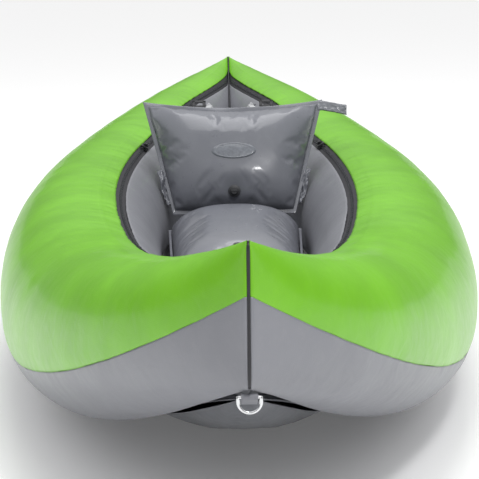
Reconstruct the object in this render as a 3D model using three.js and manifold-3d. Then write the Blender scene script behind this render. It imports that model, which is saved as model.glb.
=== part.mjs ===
// A one-seat inflatable kayak with two banana-shaped side tubes, an inflated floor slung between them and an
// inflated seat. Every inflated member is a fabric skin over a separate air cell, as on the real boat.
// Millimetres. +Z is up, -Y is the bow, +X is the port side. The origin is on the ground, under the middle.
import * as THREE from "three";
import { mergeVertices } from "three/addons/utils/BufferGeometryUtils.js";
import Module from "manifold-3d";

const wasm = await Module();
wasm.setup();

// ---------------------------------------------------------------- driving dimensions
const HULL_LENGTH = 3120;
const HULL_WIDTH = 914;
const TUBE_RADIUS = 153;
const MIDBODY_SHARE = 0.35; // share of the length, each way from the middle, where the tube keeps one size
const TAPER_POWER = 1.65;
const RISE_POWER = 1.55;
// At each end the round section is pinched into an upright seam; a higher power pinches it later.
const BOW = { radius: 75, rise: 225, flat: 0.07, tall: 1.3, pinchPower: 7 };
const STERN = { radius: 84, rise: 124, flat: 0.07, tall: 1.15, pinchPower: 9 };

const SKIN = 1.5; // coated fabric of the outer shell
const CELL_WALL = 1.2; // film of the air cell
const CELL_REACH = 1455; // how far the cell goes towards each end
const FIT_GAP = 0.4; // between layers that touch on the real boat
const ZIP_ANGLE = 60; // where the zip runs on the tube, above level on the cockpit side
const ZIP_DROP = { degrees: 13.5, from: 0.65, reach: 0.92, power: 1.6 }; // the zip sinks towards both ends
const ZIP_WIDTH = 22;
const ZIP_CHAIN_WIDTH = 7;
const ZIP_CHAIN_HEIGHT = 2.5;
const CHINE_ANGLE = 325; // where the bottom panel meets the inner wall
const COLOUR_SEAM_MID = 202; // the top panel's lower edge amidships, past the outermost point
const COLOUR_SEAM_END = 165.4; // and at the two ends
const COLOUR_SEAM_POWER = 7.3;

const FLOOR_DROP = 24; // how far the floor hangs below the tubes
const FLOOR_REACH = 0.84; // share of the tubes' length that the floor covers
const FLOOR_ROUND = 0.86; // share of the floor's length where its nose and tail start to round off
const FLOOR_EDGE_ANGLE = 300; // where the floor's side edge faces the tube
const FLOOR_CLEARANCE = 10; // from that edge to the tube, where water drains out
const FLOOR_EDGE = 6; // half the height of the blunt side edge
const FLOOR_CROWN = 0.33; // how far the top swells, as a share of the half width
const FLOOR_FLAT = 0.3; // share of the bottom that is flat

const WELT = { half: 1.8, bead: 5.5, proud: 4 }; // half thickness, half bead width, bead height

const SEAT_BASE = {
  width: 280,
  frontWidth: 246,
  length: 540,
  rear: 155,
  height: 136,
  edge: 8,
  powers: { u: 3, v: 6 },
};
const BACK = {
  bottomWidth: 262,
  topWidth: 392,
  height: 264,
  thickness: 100,
  edge: 6,
  lean: 31,
  foot: 14,
  dip: 17,
  powers: { u: 4, v: 4 },
};
const BACK_PIVOT = { y: 218, z: 192 };
const BADGE = { width: 96, height: 36, up: 145, thick: 1.5 };
const TWIST_VALVE = { flange: 13, up: 52 };

const VALVE = { flange: 30, collar: 21, barrel: 18.5, bore: 14, inside: 26, stem: 3, head: 9, cap: 26 };
const SIDE_VALVE = { y: 560, angle: 24 };
const FLOOR_VALVE = { y: 650, lift: 4 };
const SLIDER = { y: 480, length: 24, width: 17, height: 7, play: 2.2, lift: 1.6 };
const RING = { radius: 15, leg: 6, wire: 2.4, tab: 22, eye: 5 };
const STAY = { x: 74, width: 14, thick: 2, anchorY: 1150, anchorAngle: 42 };

// ---------------------------------------------------------------- what follows from them
const HALF_LENGTH = HULL_LENGTH / 2 - WELT.proud * 2;
const TUBE_OFFSET = HULL_WIDTH / 2 - TUBE_RADIUS; // from the middle plane to the tube's centreline amidships
const ARC_RADIUS = (TUBE_OFFSET ** 2 + HALF_LENGTH ** 2) / (2 * TUBE_OFFSET);
const ARC_CENTRE = ARC_RADIUS - TUBE_OFFSET; // the arc's centre lies this far over on the far side
const ARC_HALF_ANGLE = Math.asin(HALF_LENGTH / ARC_RADIUS);
const WELT_GAP = WELT.half + FIT_GAP;
const CELL_OFFSET = -(SKIN + FIT_GAP);

const SECTOR_MARGIN = 6; // how far a cutting wedge reaches past the skin
const STATIONS = 18; // along the tube
const TOP_STEPS = 6;
const BOTTOM_STEPS = 4;
const INNER_STEPS = 4;
const RING_STEPS = TOP_STEPS + BOTTOM_STEPS + INNER_STEPS + 1; // the last one is the zip

const radians = THREE.MathUtils.degToRad;
const lerp = THREE.MathUtils.lerp;
const clamp = THREE.MathUtils.clamp;

// ---------------------------------------------------------------- materials
const paint = (color, roughness, metalness = 0) =>
  new THREE.MeshStandardMaterial({ color, roughness, metalness });
const GREEN = paint(0x83b83a, 0.35);
const GREY = paint(0x86878c, 0.45);
const BLACK = paint(0x1c1c20, 0.6);
const FILM = paint(0xc9cdd2, 0.4);
const PLASTIC = paint(0x2a2b2e, 0.4);
const STEEL = paint(0xc8cacc, 0.25, 1);
const WEBBING = paint(0xb9bbbd, 0.8);

// ---------------------------------------------------------------- helpers for solids
// The same shape with each vertex moved to the place that the function gives.
function bend(geometry, place) {
  const bent = geometry.clone();
  const position = bent.getAttribute("position");
  const point = new THREE.Vector3();
  for (let i = 0; i < position.count; i++) {
    point.fromBufferAttribute(position, i);
    const moved = place(point);
    position.setXYZ(i, moved.x, moved.y, moved.z);
  }
  return bent;
}

// A closed geometry as a solid that can be joined and cut.
function solid(geometry) {
  const bare = geometry.index ? geometry.toNonIndexed() : geometry.clone();
  const shell = new THREE.BufferGeometry().setAttribute("position", bare.getAttribute("position"));
  const merged = mergeVertices(shell, 1e-3);
  const triVerts = new Uint32Array(merged.index.array);
  const vertProperties = merged.attributes.position.array;
  const body = new wasm.Manifold(new wasm.Mesh({ numProp: 3, vertProperties, triVerts }));
  if (body.volume() >= 0) return body;
  for (let i = 0; i < triVerts.length; i += 3) {
    [triVerts[i + 1], triVerts[i + 2]] = [triVerts[i + 2], triVerts[i + 1]];
  }
  return new wasm.Manifold(new wasm.Mesh({ numProp: 3, vertProperties, triVerts }));
}

// A solid back as a geometry.
function geometryOf(body) {
  const mesh = body.getMesh();
  const positions = new Float32Array(mesh.numVert * 3);
  for (let i = 0; i < mesh.numVert; i++) {
    positions.set(mesh.vertProperties.subarray(i * mesh.numProp, i * mesh.numProp + 3), i * 3);
  }
  return new THREE.BufferGeometry()
    .setAttribute("position", new THREE.BufferAttribute(positions, 3))
    .setIndex(new THREE.BufferAttribute(mesh.triVerts, 1));
}

// A box between two corners, as a solid.
function block(low, high) {
  const size = new THREE.Vector3().subVectors(high, low);
  const middle = new THREE.Vector3().addVectors(low, high).multiplyScalar(0.5);
  return solid(new THREE.BoxGeometry(size.x, size.y, size.z).translate(middle.x, middle.y, middle.z));
}

function named(name, shape, material) {
  const geometry = shape.isBufferGeometry ? shape : geometryOf(shape);
  const mesh = new THREE.Mesh(geometry, material);
  mesh.name = name;
  return mesh;
}

// A turned part: the profile is a list of [radius, height] pairs round a section that closes on itself.
function turned(profile, segments = 16) {
  const points = profile.map(([r, z]) => new THREE.Vector2(r, z));
  points.push(points[0].clone());
  return new THREE.LatheGeometry(points, segments).rotateX(Math.PI / 2);
}

// A rod or hole along Z.
const rod = (radius, length, segments = 12) =>
  new THREE.CylinderGeometry(radius, radius, length, segments).rotateX(Math.PI / 2);

// ---------------------------------------------------------------- the side tube's surface
// The tube's size and height at t, from -1 at the bow to 1 at the stern.
function tubeAt(t) {
  const end = t < 0 ? BOW : STERN;
  const reach = clamp((Math.abs(t) - MIDBODY_SHARE) / (1 - MIDBODY_SHARE), 0, 1);
  const radius = lerp(TUBE_RADIUS, end.radius, reach ** TAPER_POWER);
  const pinch = reach ** end.pinchPower;
  return {
    halfWidth: radius * lerp(1, end.flat, pinch),
    halfHeight: radius * lerp(1, end.tall, pinch),
    z: FLOOR_DROP + TUBE_RADIUS + end.rise * reach ** RISE_POWER,
  };
}

// A point on the port tube. The angle, in degrees, starts level on the cockpit side and rises over the top.
function tubePoint(t, angle, offset = 0) {
  const { halfWidth, halfHeight, z } = tubeAt(t);
  const along = t * ARC_HALF_ANGLE;
  const turn = radians(angle);
  const r = ARC_RADIUS - (halfWidth + offset) * Math.cos(turn);
  return new THREE.Vector3(
    r * Math.cos(along) - ARC_CENTRE,
    r * Math.sin(along),
    z + (halfHeight + offset) * Math.sin(turn),
  );
}

// How many degrees round the tube a distance across its surface takes, at t and near an angle.
function degreesFor(distance, t, angle) {
  const { halfWidth, halfHeight } = tubeAt(t);
  const turn = radians(angle);
  const stretch = Math.hypot(halfWidth * Math.sin(turn), halfHeight * Math.cos(turn));
  return THREE.MathUtils.radToDeg(distance / stretch);
}

// The zip's angle at t. Near the ends it sinks to the cockpit side, so that the two zips meet in a V.
function zipAngle(t) {
  const { degrees, from, reach, power } = ZIP_DROP;
  return ZIP_ANGLE - degrees * clamp((Math.abs(t) - from) / (reach - from), 0, 1) ** power;
}

// The angles where the tube's panels meet at t.
function panelEdges(t) {
  const zip = zipAngle(t);
  const zipHalf = degreesFor(ZIP_WIDTH / 2, t, zip);
  return {
    zipTop: zip + zipHalf,
    colour: lerp(COLOUR_SEAM_MID, COLOUR_SEAM_END, Math.abs(t) ** COLOUR_SEAM_POWER),
    chine: CHINE_ANGLE,
    zipBottom: 360 + zip - zipHalf,
  };
}

// The angle of the k-th of the ring's corners, which every layer of the tube shares, so that layers nest.
function ringAngle(t, k) {
  const edges = panelEdges(t);
  if (k <= TOP_STEPS) return lerp(edges.zipTop, edges.colour, k / TOP_STEPS);
  if (k <= TOP_STEPS + BOTTOM_STEPS) return lerp(edges.colour, edges.chine, (k - TOP_STEPS) / BOTTOM_STEPS);
  if (k < RING_STEPS) return lerp(edges.chine, edges.zipBottom, (k - TOP_STEPS - BOTTOM_STEPS) / INNER_STEPS);
  return 360 + edges.zipTop;
}

// Stations are closer together towards the ends, where the tube tapers. u runs from -1 to 1.
const stationAt = (u) => 0.5 * u + 0.5 * Math.sin((u * Math.PI) / 2);

// The whole port tube as one closed body, grown or shrunk by an offset.
function tubeBody(offset) {
  const drum = new THREE.CylinderGeometry(1, 1, 2, RING_STEPS, STATIONS);
  return solid(
    bend(drum, (p) => {
      const t = stationAt(p.y);
      if (Math.hypot(p.x, p.z) < 0.5) return tubePoint(t, 0, -tubeAt(t).halfWidth);
      const k = Math.round((Math.atan2(p.x, p.z) / (2 * Math.PI)) * RING_STEPS + RING_STEPS) % RING_STEPS;
      return tubePoint(t, ringAngle(t, k), offset);
    }),
  );
}

// The wedge of the tube between two of the ring's corners, from the centreline to well outside its skin.
function tubeSector(first, steps) {
  const drum = new THREE.CylinderGeometry(1, 1, 2, steps + 2, STATIONS);
  return solid(
    bend(drum, (p) => {
      const t = stationAt(p.y);
      const k = Math.round((Math.atan2(p.x, p.z) / (2 * Math.PI)) * (steps + 2) + steps + 2) % (steps + 2);
      const corner = ringAngle(t, first + clamp(k - 1, 0, steps));
      if (k === 0) return tubePoint(t, corner, -tubeAt(t).halfWidth);
      const isMiddle = Math.hypot(p.x, p.z) < 0.5;
      if (isMiddle) return tubePoint(t, ringAngle(t, first + steps / 2), -tubeAt(t).halfWidth / 2);
      return tubePoint(t, corner, SECTOR_MARGIN);
    }),
  );
}

// The thin slot that parts two panels along the k-th of the ring's corners.
function seamSlot(k) {
  const strip = new THREE.BoxGeometry(FIT_GAP, 2, SKIN + 3, 1, STATIONS, 1);
  return solid(
    bend(strip, (p) => {
      const t = stationAt(p.y);
      const angle = ringAngle(t, k);
      return tubePoint(t, angle + degreesFor(p.x, t, angle), p.z - SKIN / 2);
    }),
  );
}

// The raised chain of teeth that runs along the middle of the zip's tape.
function zipChain() {
  const strip = new THREE.BoxGeometry(ZIP_CHAIN_WIDTH, 2, ZIP_CHAIN_HEIGHT + SKIN / 3, 1, STATIONS, 1);
  return solid(
    bend(strip, (p) => {
      const t = stationAt(p.y);
      const zip = zipAngle(t);
      const angle = zip + degreesFor(p.x, t, zip);
      return tubePoint(t, angle, p.z + (ZIP_CHAIN_HEIGHT - SKIN / 3) / 2);
    }),
  );
}

// ---------------------------------------------------------------- the side tubes' layers
// The biggest piece of a body that trimming may have left in several pieces.
function biggest(body) {
  return body.decompose().reduce((best, piece) => (piece.volume() > best.volume() ? piece : best));
}

// The place on the port tube at t, as a matrix: X along the tube, Y across its surface, Z straight out of it.
function placeOnTube(t, angle) {
  const point = tubePoint(t, angle);
  const out = tubePoint(t, angle, 1).sub(point).normalize();
  const turn = t * ARC_HALF_ANGLE;
  const along = new THREE.Vector3(-Math.sin(turn), Math.cos(turn), 0);
  const across = new THREE.Vector3().crossVectors(out, along).normalize();
  return new THREE.Matrix4().makeBasis(along, across, out).setPosition(point);
}

const tAtY = (y) => Math.asin(y / ARC_RADIUS) / ARC_HALF_ANGLE;
const moved = (body, matrix) => body.transform(matrix.elements);

const sideValvePlace = placeOnTube(tAtY(SIDE_VALVE.y), SIDE_VALVE.angle);
const valveHole = (matrix) => moved(solid(rod(VALVE.barrel + FIT_GAP, 40)), matrix);

const fromMiddle = (body, distance) => biggest(body.trimByPlane([1, 0, 0], distance));
const seams = [0, TOP_STEPS, TOP_STEPS + BOTTOM_STEPS, RING_STEPS - 1].map(seamSlot);
const tubeSkin = fromMiddle(tubeBody(0), WELT_GAP)
  .subtract(tubeBody(-SKIN))
  .subtract(wasm.Manifold.union(seams));
const outerPanel = (first, steps) => biggest(tubeSkin.intersect(tubeSector(first, steps)));
const topPanel = outerPanel(0, TOP_STEPS);
const bottomPanel = outerPanel(TOP_STEPS, BOTTOM_STEPS);
const innerPanel = outerPanel(TOP_STEPS + BOTTOM_STEPS, INNER_STEPS).subtract(valveHole(sideValvePlace));
// The cell's outside, or its inside when deeper: it stops short of the pinched ends and of the middle plane.
function sideCellBody(depth) {
  const reach = CELL_REACH - depth;
  return fromMiddle(tubeBody(CELL_OFFSET - depth), WELT_GAP - CELL_OFFSET + depth)
    .trimByPlane([0, 1, 0], -reach)
    .trimByPlane([0, -1, 0], -reach);
}
const sideCell = sideCellBody(0).subtract(sideCellBody(CELL_WALL)).subtract(valveHole(sideValvePlace));
const zip = fromMiddle(outerPanel(RING_STEPS - 1, 1).add(zipChain()), WELT.bead + FIT_GAP);

// The upright seam where the two tubes meet: a thin fin between them with a bead round its edge.
function welt(end) {
  const grown = tubeBody(WELT.proud + FIT_GAP);
  const stretched = grown.add(grown.translate([0, end * WELT.proud, 0]));
  const both = stretched.add(stretched.mirror([1, 0, 0]));
  const near = Math.sign(end) * HULL_LENGTH;
  const slab = (half) =>
    block(
      new THREE.Vector3(-half, Math.min(near, end * 900), -50),
      new THREE.Vector3(half, Math.max(near, end * 900), 900),
    );
  const tube = tubeBody(FIT_GAP);
  const bead = both.intersect(slab(WELT.bead)).subtract(tube).subtract(tube.mirror([1, 0, 0]));
  return biggest(bead.add(both.intersect(slab(WELT.half))));
}

// ---------------------------------------------------------------- floor
const FLOOR_TOP_STEPS = 6;
const FLOOR_BOTTOM_SHARES = [-1, -0.75, -0.5, -FLOOR_FLAT, FLOOR_FLAT, 0.5, 0.75, 1];
const FLOOR_STATIONS = 12;

// A point on the floor's surface. v runs from -1 at the nose to 1 at the tail, q across from -1 to 1.
function floorPoint(v, q, side, offset) {
  const t = v * FLOOR_REACH;
  const edge = tubePoint(t, FLOOR_EDGE_ANGLE, FLOOR_CLEARANCE);
  const { z, halfHeight } = tubeAt(t);
  const beyond = clamp((Math.abs(v) - FLOOR_ROUND) / (1 - FLOOR_ROUND), 0, 1);
  const shrink = Math.max(0.12, Math.sqrt(1 - beyond ** 2));
  const depth = edge.z - (z - halfHeight - FLOOR_DROP) - FLOOR_EDGE;
  const past = clamp((Math.abs(q) - FLOOR_FLAT) / (1 - FLOOR_FLAT), 0, 1);
  const swell = side > 0 ? FLOOR_CROWN * edge.x * (1 - q * q) : depth * (1 - past * past);
  const height = (FLOOR_EDGE + swell) * shrink + offset;
  const halfWidth = edge.x * shrink + offset;
  return new THREE.Vector3(q * halfWidth, edge.y, edge.z + side * Math.max(0.4, height));
}

const floorStation = (u) => Math.sin((u * Math.PI) / 2) * 0.35 + u * 0.65;
const floorTopShare = (k) => -1 + (2 * k) / FLOOR_TOP_STEPS;

// The whole floor as one closed body, grown or shrunk by an offset.
function floorBody(offset) {
  const tops = Array.from({ length: FLOOR_TOP_STEPS + 1 }, (_, k) => [floorTopShare(k), 1]);
  const bottoms = FLOOR_BOTTOM_SHARES.toReversed().map((q) => [q, -1]);
  const ring = [...tops, ...bottoms];
  const drum = new THREE.CylinderGeometry(1, 1, 2, ring.length, FLOOR_STATIONS);
  return solid(
    bend(drum, (p) => {
      const v = floorStation(p.y);
      if (Math.hypot(p.x, p.z) < 0.5) return floorPoint(v, 0, 1, -1e6);
      const k = Math.round((Math.atan2(p.x, p.z) / (2 * Math.PI)) * ring.length + ring.length) % ring.length;
      const [q, side] = ring[k];
      return floorPoint(v, q, side, offset);
    }),
  );
}

// The half of the floor above or below its side edges, from there to well outside its skin.
function floorHalf(side) {
  const box = new THREE.BoxGeometry(2, 2, 1, 8, FLOOR_STATIONS, 1);
  return solid(
    bend(box, (p) => {
      const v = floorStation(p.y);
      const point = floorPoint(v, p.x, side, SECTOR_MARGIN);
      if (p.z > 0) return point;
      const edge = tubePoint(v * FLOOR_REACH, FLOOR_EDGE_ANGLE, FLOOR_CLEARANCE);
      return new THREE.Vector3(point.x, point.y, edge.z + (side * FIT_GAP) / 2);
    }),
  );
}

const floorTop = (y) => {
  const t = tAtY(y);
  return floorPoint(t / FLOOR_REACH, 0, 1, 0).z;
};

// The valve lies on the floor's slope.
function placeOnFloor(y) {
  const reach = VALVE.flange;
  const rise = floorTop(y + reach) - floorTop(y - reach);
  const along = new THREE.Vector3(0, 2 * reach, rise).normalize();
  const across = new THREE.Vector3(1, 0, 0);
  const out = new THREE.Vector3().crossVectors(across, along);
  return new THREE.Matrix4().makeBasis(across, along, out).setPosition(0, y, floorTop(y) + FLOOR_VALVE.lift);
}
const floorValvePlace = placeOnFloor(FLOOR_VALVE.y);
const floorSkin = floorBody(0).subtract(floorBody(-SKIN));
const floorTopPanel = biggest(floorSkin.intersect(floorHalf(1))).subtract(valveHole(floorValvePlace));
const floorBottomPanel = biggest(floorSkin.intersect(floorHalf(-1)));
const floorCell = floorBody(CELL_OFFSET)
  .subtract(floorBody(CELL_OFFSET - CELL_WALL))
  .subtract(valveHole(floorValvePlace));

// ---------------------------------------------------------------- valves
// A screw-down air valve about Z: the flange lies on the fabric, the barrel goes through it into the cell.
function valveBody() {
  const shell = solid(
    turned([
      [VALVE.bore, -VALVE.inside],
      [VALVE.barrel, -VALVE.inside],
      [VALVE.barrel, FIT_GAP],
      [VALVE.flange, FIT_GAP],
      [VALVE.flange, 2.6],
      [VALVE.collar, 2.6],
      [VALVE.collar, 9],
      [VALVE.bore, 9],
    ], 12),
  );
  const bar = (turn) =>
    solid(new THREE.BoxGeometry(2 * VALVE.bore + 2, 3, 3).rotateZ(turn).translate(0, 0, -18));
  const hub = solid(rod(VALVE.stem + 3, 8).translate(0, 0, -18));
  const guide = solid(rod(VALVE.stem + FIT_GAP, 12).translate(0, 0, -18));
  return wasm.Manifold.union([shell, bar(0), bar(Math.PI / 2), hub]).subtract(guide);
}

// The spring-loaded poppet: a push button above, a sealing disc below the barrel's end.
const valveButton = () =>
  solid(
    turned([
      [0.01, -VALVE.inside - 3],
      [VALVE.bore + 2, -VALVE.inside - 3],
      [VALVE.bore + 2, -VALVE.inside - FIT_GAP],
      [VALVE.stem, -VALVE.inside - FIT_GAP],
      [VALVE.stem, -2],
      [VALVE.head, -2],
      [VALVE.head, 3],
      [0.01, 3],
    ], 12),
  );

// The dust cap, a cup over the collar with finger ribs round its side.
function valveCap() {
  const cup = solid(
    turned([
      [VALVE.collar + FIT_GAP, 3],
      [VALVE.cap, 3],
      [VALVE.cap, 13],
      [VALVE.cap - 2, 15],
      [0.01, 15],
      [0.01, 9 + FIT_GAP],
      [VALVE.collar + FIT_GAP, 9 + FIT_GAP],
    ], 12),
  );
  const grip = solid(new THREE.BoxGeometry(30, 5, 5).translate(0, 0, 16));
  return cup.add(grip);
}

// ---------------------------------------------------------------- zip slider and its pull
const sliderPlace = placeOnTube(tAtY(SLIDER.y), ZIP_ANGLE);
const BRIDGE = { length: 12, width: 5, height: 6, wall: 2 };

function zipSlider() {
  const top = SLIDER.lift + SLIDER.height;
  const half = { x: SLIDER.length / 2, y: SLIDER.width / 2 };
  const tunnel = ZIP_CHAIN_WIDTH / 2 + SLIDER.play;
  const body = block(
    new THREE.Vector3(-half.x, -half.y, SLIDER.lift),
    new THREE.Vector3(half.x, half.y, top),
  );
  const groove = block(
    new THREE.Vector3(-half.x - 1, -tunnel, SLIDER.lift - 1),
    new THREE.Vector3(half.x + 1, tunnel, ZIP_CHAIN_HEIGHT + SLIDER.lift),
  );
  const b = BRIDGE;
  const bridge = block(
    new THREE.Vector3(-b.length / 2, -b.width / 2, top - 1),
    new THREE.Vector3(b.length / 2, b.width / 2, top + b.height),
  );
  const eye = block(
    new THREE.Vector3(-b.length / 2 + b.wall, -b.width, top + 0.5),
    new THREE.Vector3(b.length / 2 - b.wall, b.width, top + b.height - b.wall),
  );
  return body.subtract(groove).add(bridge.subtract(eye));
}

// The pull tab, whose end bar hangs in the bridge's eye. It turns about Y through that bar.
const PULL_PIVOT = { x: 0, z: SLIDER.lift + SLIDER.height + 2.2 };

function zipPull() {
  const thick = 2.4;
  const side = BRIDGE.width / 2 + 0.6;
  const outline = new THREE.Shape([
    new THREE.Vector2(-thick / 2, -side - 2.4),
    new THREE.Vector2(34, -side - 2.4),
    new THREE.Vector2(36, -side),
    new THREE.Vector2(36, side),
    new THREE.Vector2(34, side + 2.4),
    new THREE.Vector2(-thick / 2, side + 2.4),
  ]);
  const slot = new THREE.Path([
    new THREE.Vector2(thick / 2, -side),
    new THREE.Vector2(thick / 2, side),
    new THREE.Vector2(11, side),
    new THREE.Vector2(11, -side),
  ]);
  outline.holes.push(slot);
  const plate = new THREE.ExtrudeGeometry(outline, { depth: thick, bevelEnabled: false });
  plate.translate(0, 0, -thick / 2);
  return solid(plate.translate(PULL_PIVOT.x, 0, PULL_PIVOT.z));
}

// ---------------------------------------------------------------- lifting ring under each end of the hull
const ringPivot = (end) => {
  const { z, halfHeight } = tubeAt(end);
  return new THREE.Vector3(0, end * (HULL_LENGTH / 2 - 16), z - halfHeight - WELT.proud - RING.eye - 4);
};

// The moulded tab that holds the ring's bar.
function ringTab(end) {
  const { y, z } = ringPivot(end);
  const plate = new THREE.Shape([
    new THREE.Vector2(y, z + 2.5),
    new THREE.Vector2(y, z - 2),
    new THREE.Vector2(y - end * 58, z - 27),
    new THREE.Vector2(y - end * 58, z - 23),
  ]);
  const bar = new THREE.ExtrudeGeometry(plate, { depth: RING.tab, bevelEnabled: false });
  const upright = solid(bend(bar, (p) => new THREE.Vector3(p.z - RING.tab / 2, p.x, p.y)));
  const knuckle = solid(rod(RING.eye, RING.tab).rotateY(Math.PI / 2).translate(0, y, z));
  const hole = solid(rod(RING.wire + 0.7, RING.tab + 2).rotateY(Math.PI / 2).translate(0, y, z));
  return upright.add(knuckle).subtract(hole);
}

// A D-shaped ring that hangs from its straight bar.
function dRing(end) {
  const { radius, leg, wire } = RING;
  const total = 2 * leg + Math.PI * radius;
  const hoop = bend(new THREE.CylinderGeometry(wire, wire, total, 8, 10), (p) => {
    const s = p.y + total / 2;
    const turn = clamp((s - leg) / radius, 0, Math.PI);
    const down = Math.min(s, total - s, leg);
    const reach = radius + p.x;
    return new THREE.Vector3(-reach * Math.cos(turn), p.z, -down - reach * Math.sin(turn));
  });
  const bar = solid(rod(wire, 2 * radius + 2 * wire, 8).rotateY(Math.PI / 2));
  return bar.add(solid(hoop)).translate(ringPivot(end).toArray());
}

// ---------------------------------------------------------------- seat
// A point on an inflated cushion's face: u and v run from -1 to 1, and both faces meet at a blunt edge.
function cushionHeight(shape, u, v) {
  const swell = Math.sqrt((1 - Math.abs(u) ** shape.powers.u) * (1 - Math.abs(v) ** shape.powers.v));
  return shape.edge + (shape.thick / 2 - shape.edge) * swell;
}

const spread = (x) => Math.sin((x * Math.PI) / 2); // closer together towards the edges

// The cushion as a closed body, where place(u, v, out) says where a point on a face goes.
function cushion(shape, steps, place) {
  const box = new THREE.BoxGeometry(2, 2, 2, steps.u, steps.v, 1);
  const puffed = (p) => p.z * cushionHeight(shape, spread(p.x), spread(p.y));
  return solid(bend(box, (p) => place(spread(p.x), spread(p.y), puffed(p))));
}

// A place on a cushion's front face as a matrix, with Z straight out of it.
function placeOnCushion(shape, place, u, v) {
  const at = (du, dv) => place(u + du, v + dv, cushionHeight(shape, u + du, v + dv));
  const acrossU = at(0.02, 0).sub(at(-0.02, 0)).normalize();
  const acrossV = at(0, 0.02).sub(at(0, -0.02)).normalize();
  const out = new THREE.Vector3().crossVectors(acrossU, acrossV).normalize();
  return new THREE.Matrix4().makeBasis(acrossU, new THREE.Vector3().crossVectors(out, acrossU), out)
    .setPosition(at(0, 0).addScaledVector(out, FIT_GAP));
}

const seatShape = { thick: SEAT_BASE.height, edge: SEAT_BASE.edge, powers: SEAT_BASE.powers };
const seatMiddle = {
  y: SEAT_BASE.rear - SEAT_BASE.length / 2,
  z: floorTop(SEAT_BASE.rear - SEAT_BASE.length / 2) + 2 * FIT_GAP + SEAT_BASE.height / 2,
};
const onSeat = (u, v, out) => {
  const halfWidth = lerp(SEAT_BASE.frontWidth, SEAT_BASE.width, (v + 1) / 2) / 2;
  return new THREE.Vector3(u * halfWidth, seatMiddle.y + (v * SEAT_BASE.length) / 2, seatMiddle.z + out);
};

// The backrest's own frame: X to port, Y up along it, Z out of its front, from the hinge line at its foot.
const lean = radians(BACK.lean);
const backPlace = new THREE.Matrix4()
  .makeBasis(
    new THREE.Vector3(1, 0, 0),
    new THREE.Vector3(0, Math.sin(lean), Math.cos(lean)),
    new THREE.Vector3(0, -Math.cos(lean), Math.sin(lean)),
  )
  .setPosition(0, BACK_PIVOT.y, BACK_PIVOT.z);
const onBackFrame = (x, up, out) => new THREE.Vector3(x, up, out).applyMatrix4(backPlace);
const backShape = { thick: BACK.thickness, edge: BACK.edge, powers: BACK.powers };
const backHalfWidth = (up) => lerp(BACK.bottomWidth, BACK.topWidth, up / BACK.height) / 2;
const onBack = (u, v, out) => {
  const up = BACK.foot + ((v + 1) / 2) * BACK.height - BACK.dip * (1 - u * u) * ((v + 1) / 2);
  return onBackFrame(u * backHalfWidth(((v + 1) / 2) * BACK.height), up, out);
};
const backShare = (up) => ((up - BACK.foot) / BACK.height) * 2 - 1;

// A flat piece in the backrest's frame, from an outline in its X and Y and a range in its Z.
const flatOnBack = (points, low, high) =>
  solid(
    new THREE.ExtrudeGeometry(new THREE.Shape(points.map(([x, y]) => new THREE.Vector2(x, y))), {
      depth: high - low,
      bevelEnabled: false,
    })
      .translate(0, 0, low)
      .applyMatrix4(backPlace),
  );

function badge() {
  const disc = rod(0.5, BADGE.thick, 28).scale(BADGE.width, BADGE.height, 1).translate(0, 0, BADGE.thick / 2);
  return solid(disc.applyMatrix4(placeOnCushion(backShape, onBack, 0, backShare(BADGE.up))));
}

// A small twist valve: a welded flange with a collar, and the stem that screws in it.
const twistSeat = () =>
  solid(
    turned(
      [[5.4, 0], [TWIST_VALVE.flange, 0], [TWIST_VALVE.flange, 1.8], [9, 2.4], [9, 7], [5.4, 7]],
      10,
    ),
  );
const twistStem = () =>
  solid(turned([[0.01, 0.6], [5, 0.6], [5, 7.4], [8, 7.4], [8, 12], [0.01, 12]], 10))
    .add(solid(new THREE.BoxGeometry(18, 4, 5).translate(0, 0, 11)));
const backValvePlace = placeOnCushion(backShape, onBack, 0, backShare(TWIST_VALVE.up));
const seatValvePlace = placeOnCushion(seatShape, onSeat, 0, -0.8);

// The webbing tab at the port top corner, and the fabric flaps low on both sides.
const cornerTab = () => {
  const x = backHalfWidth(BACK.height) + 2;
  const top = BACK.foot + BACK.height - 4;
  return flatOnBack([[x, top - 26], [x + 52, top - 28], [x + 52, top - 2], [x, top]], -1.5, 1.5);
};
const sideFlap = () => {
  const inner = (up) => backHalfWidth(up) + 1.5;
  const low = BACK.foot + 24;
  const outer = [[inner(22) + 8, low + 4], [inner(97) + 10, low + 70]];
  return flatOnBack([[inner(22), low], ...outer, [inner(97), low + 75]], -1, 1);
};

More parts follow.
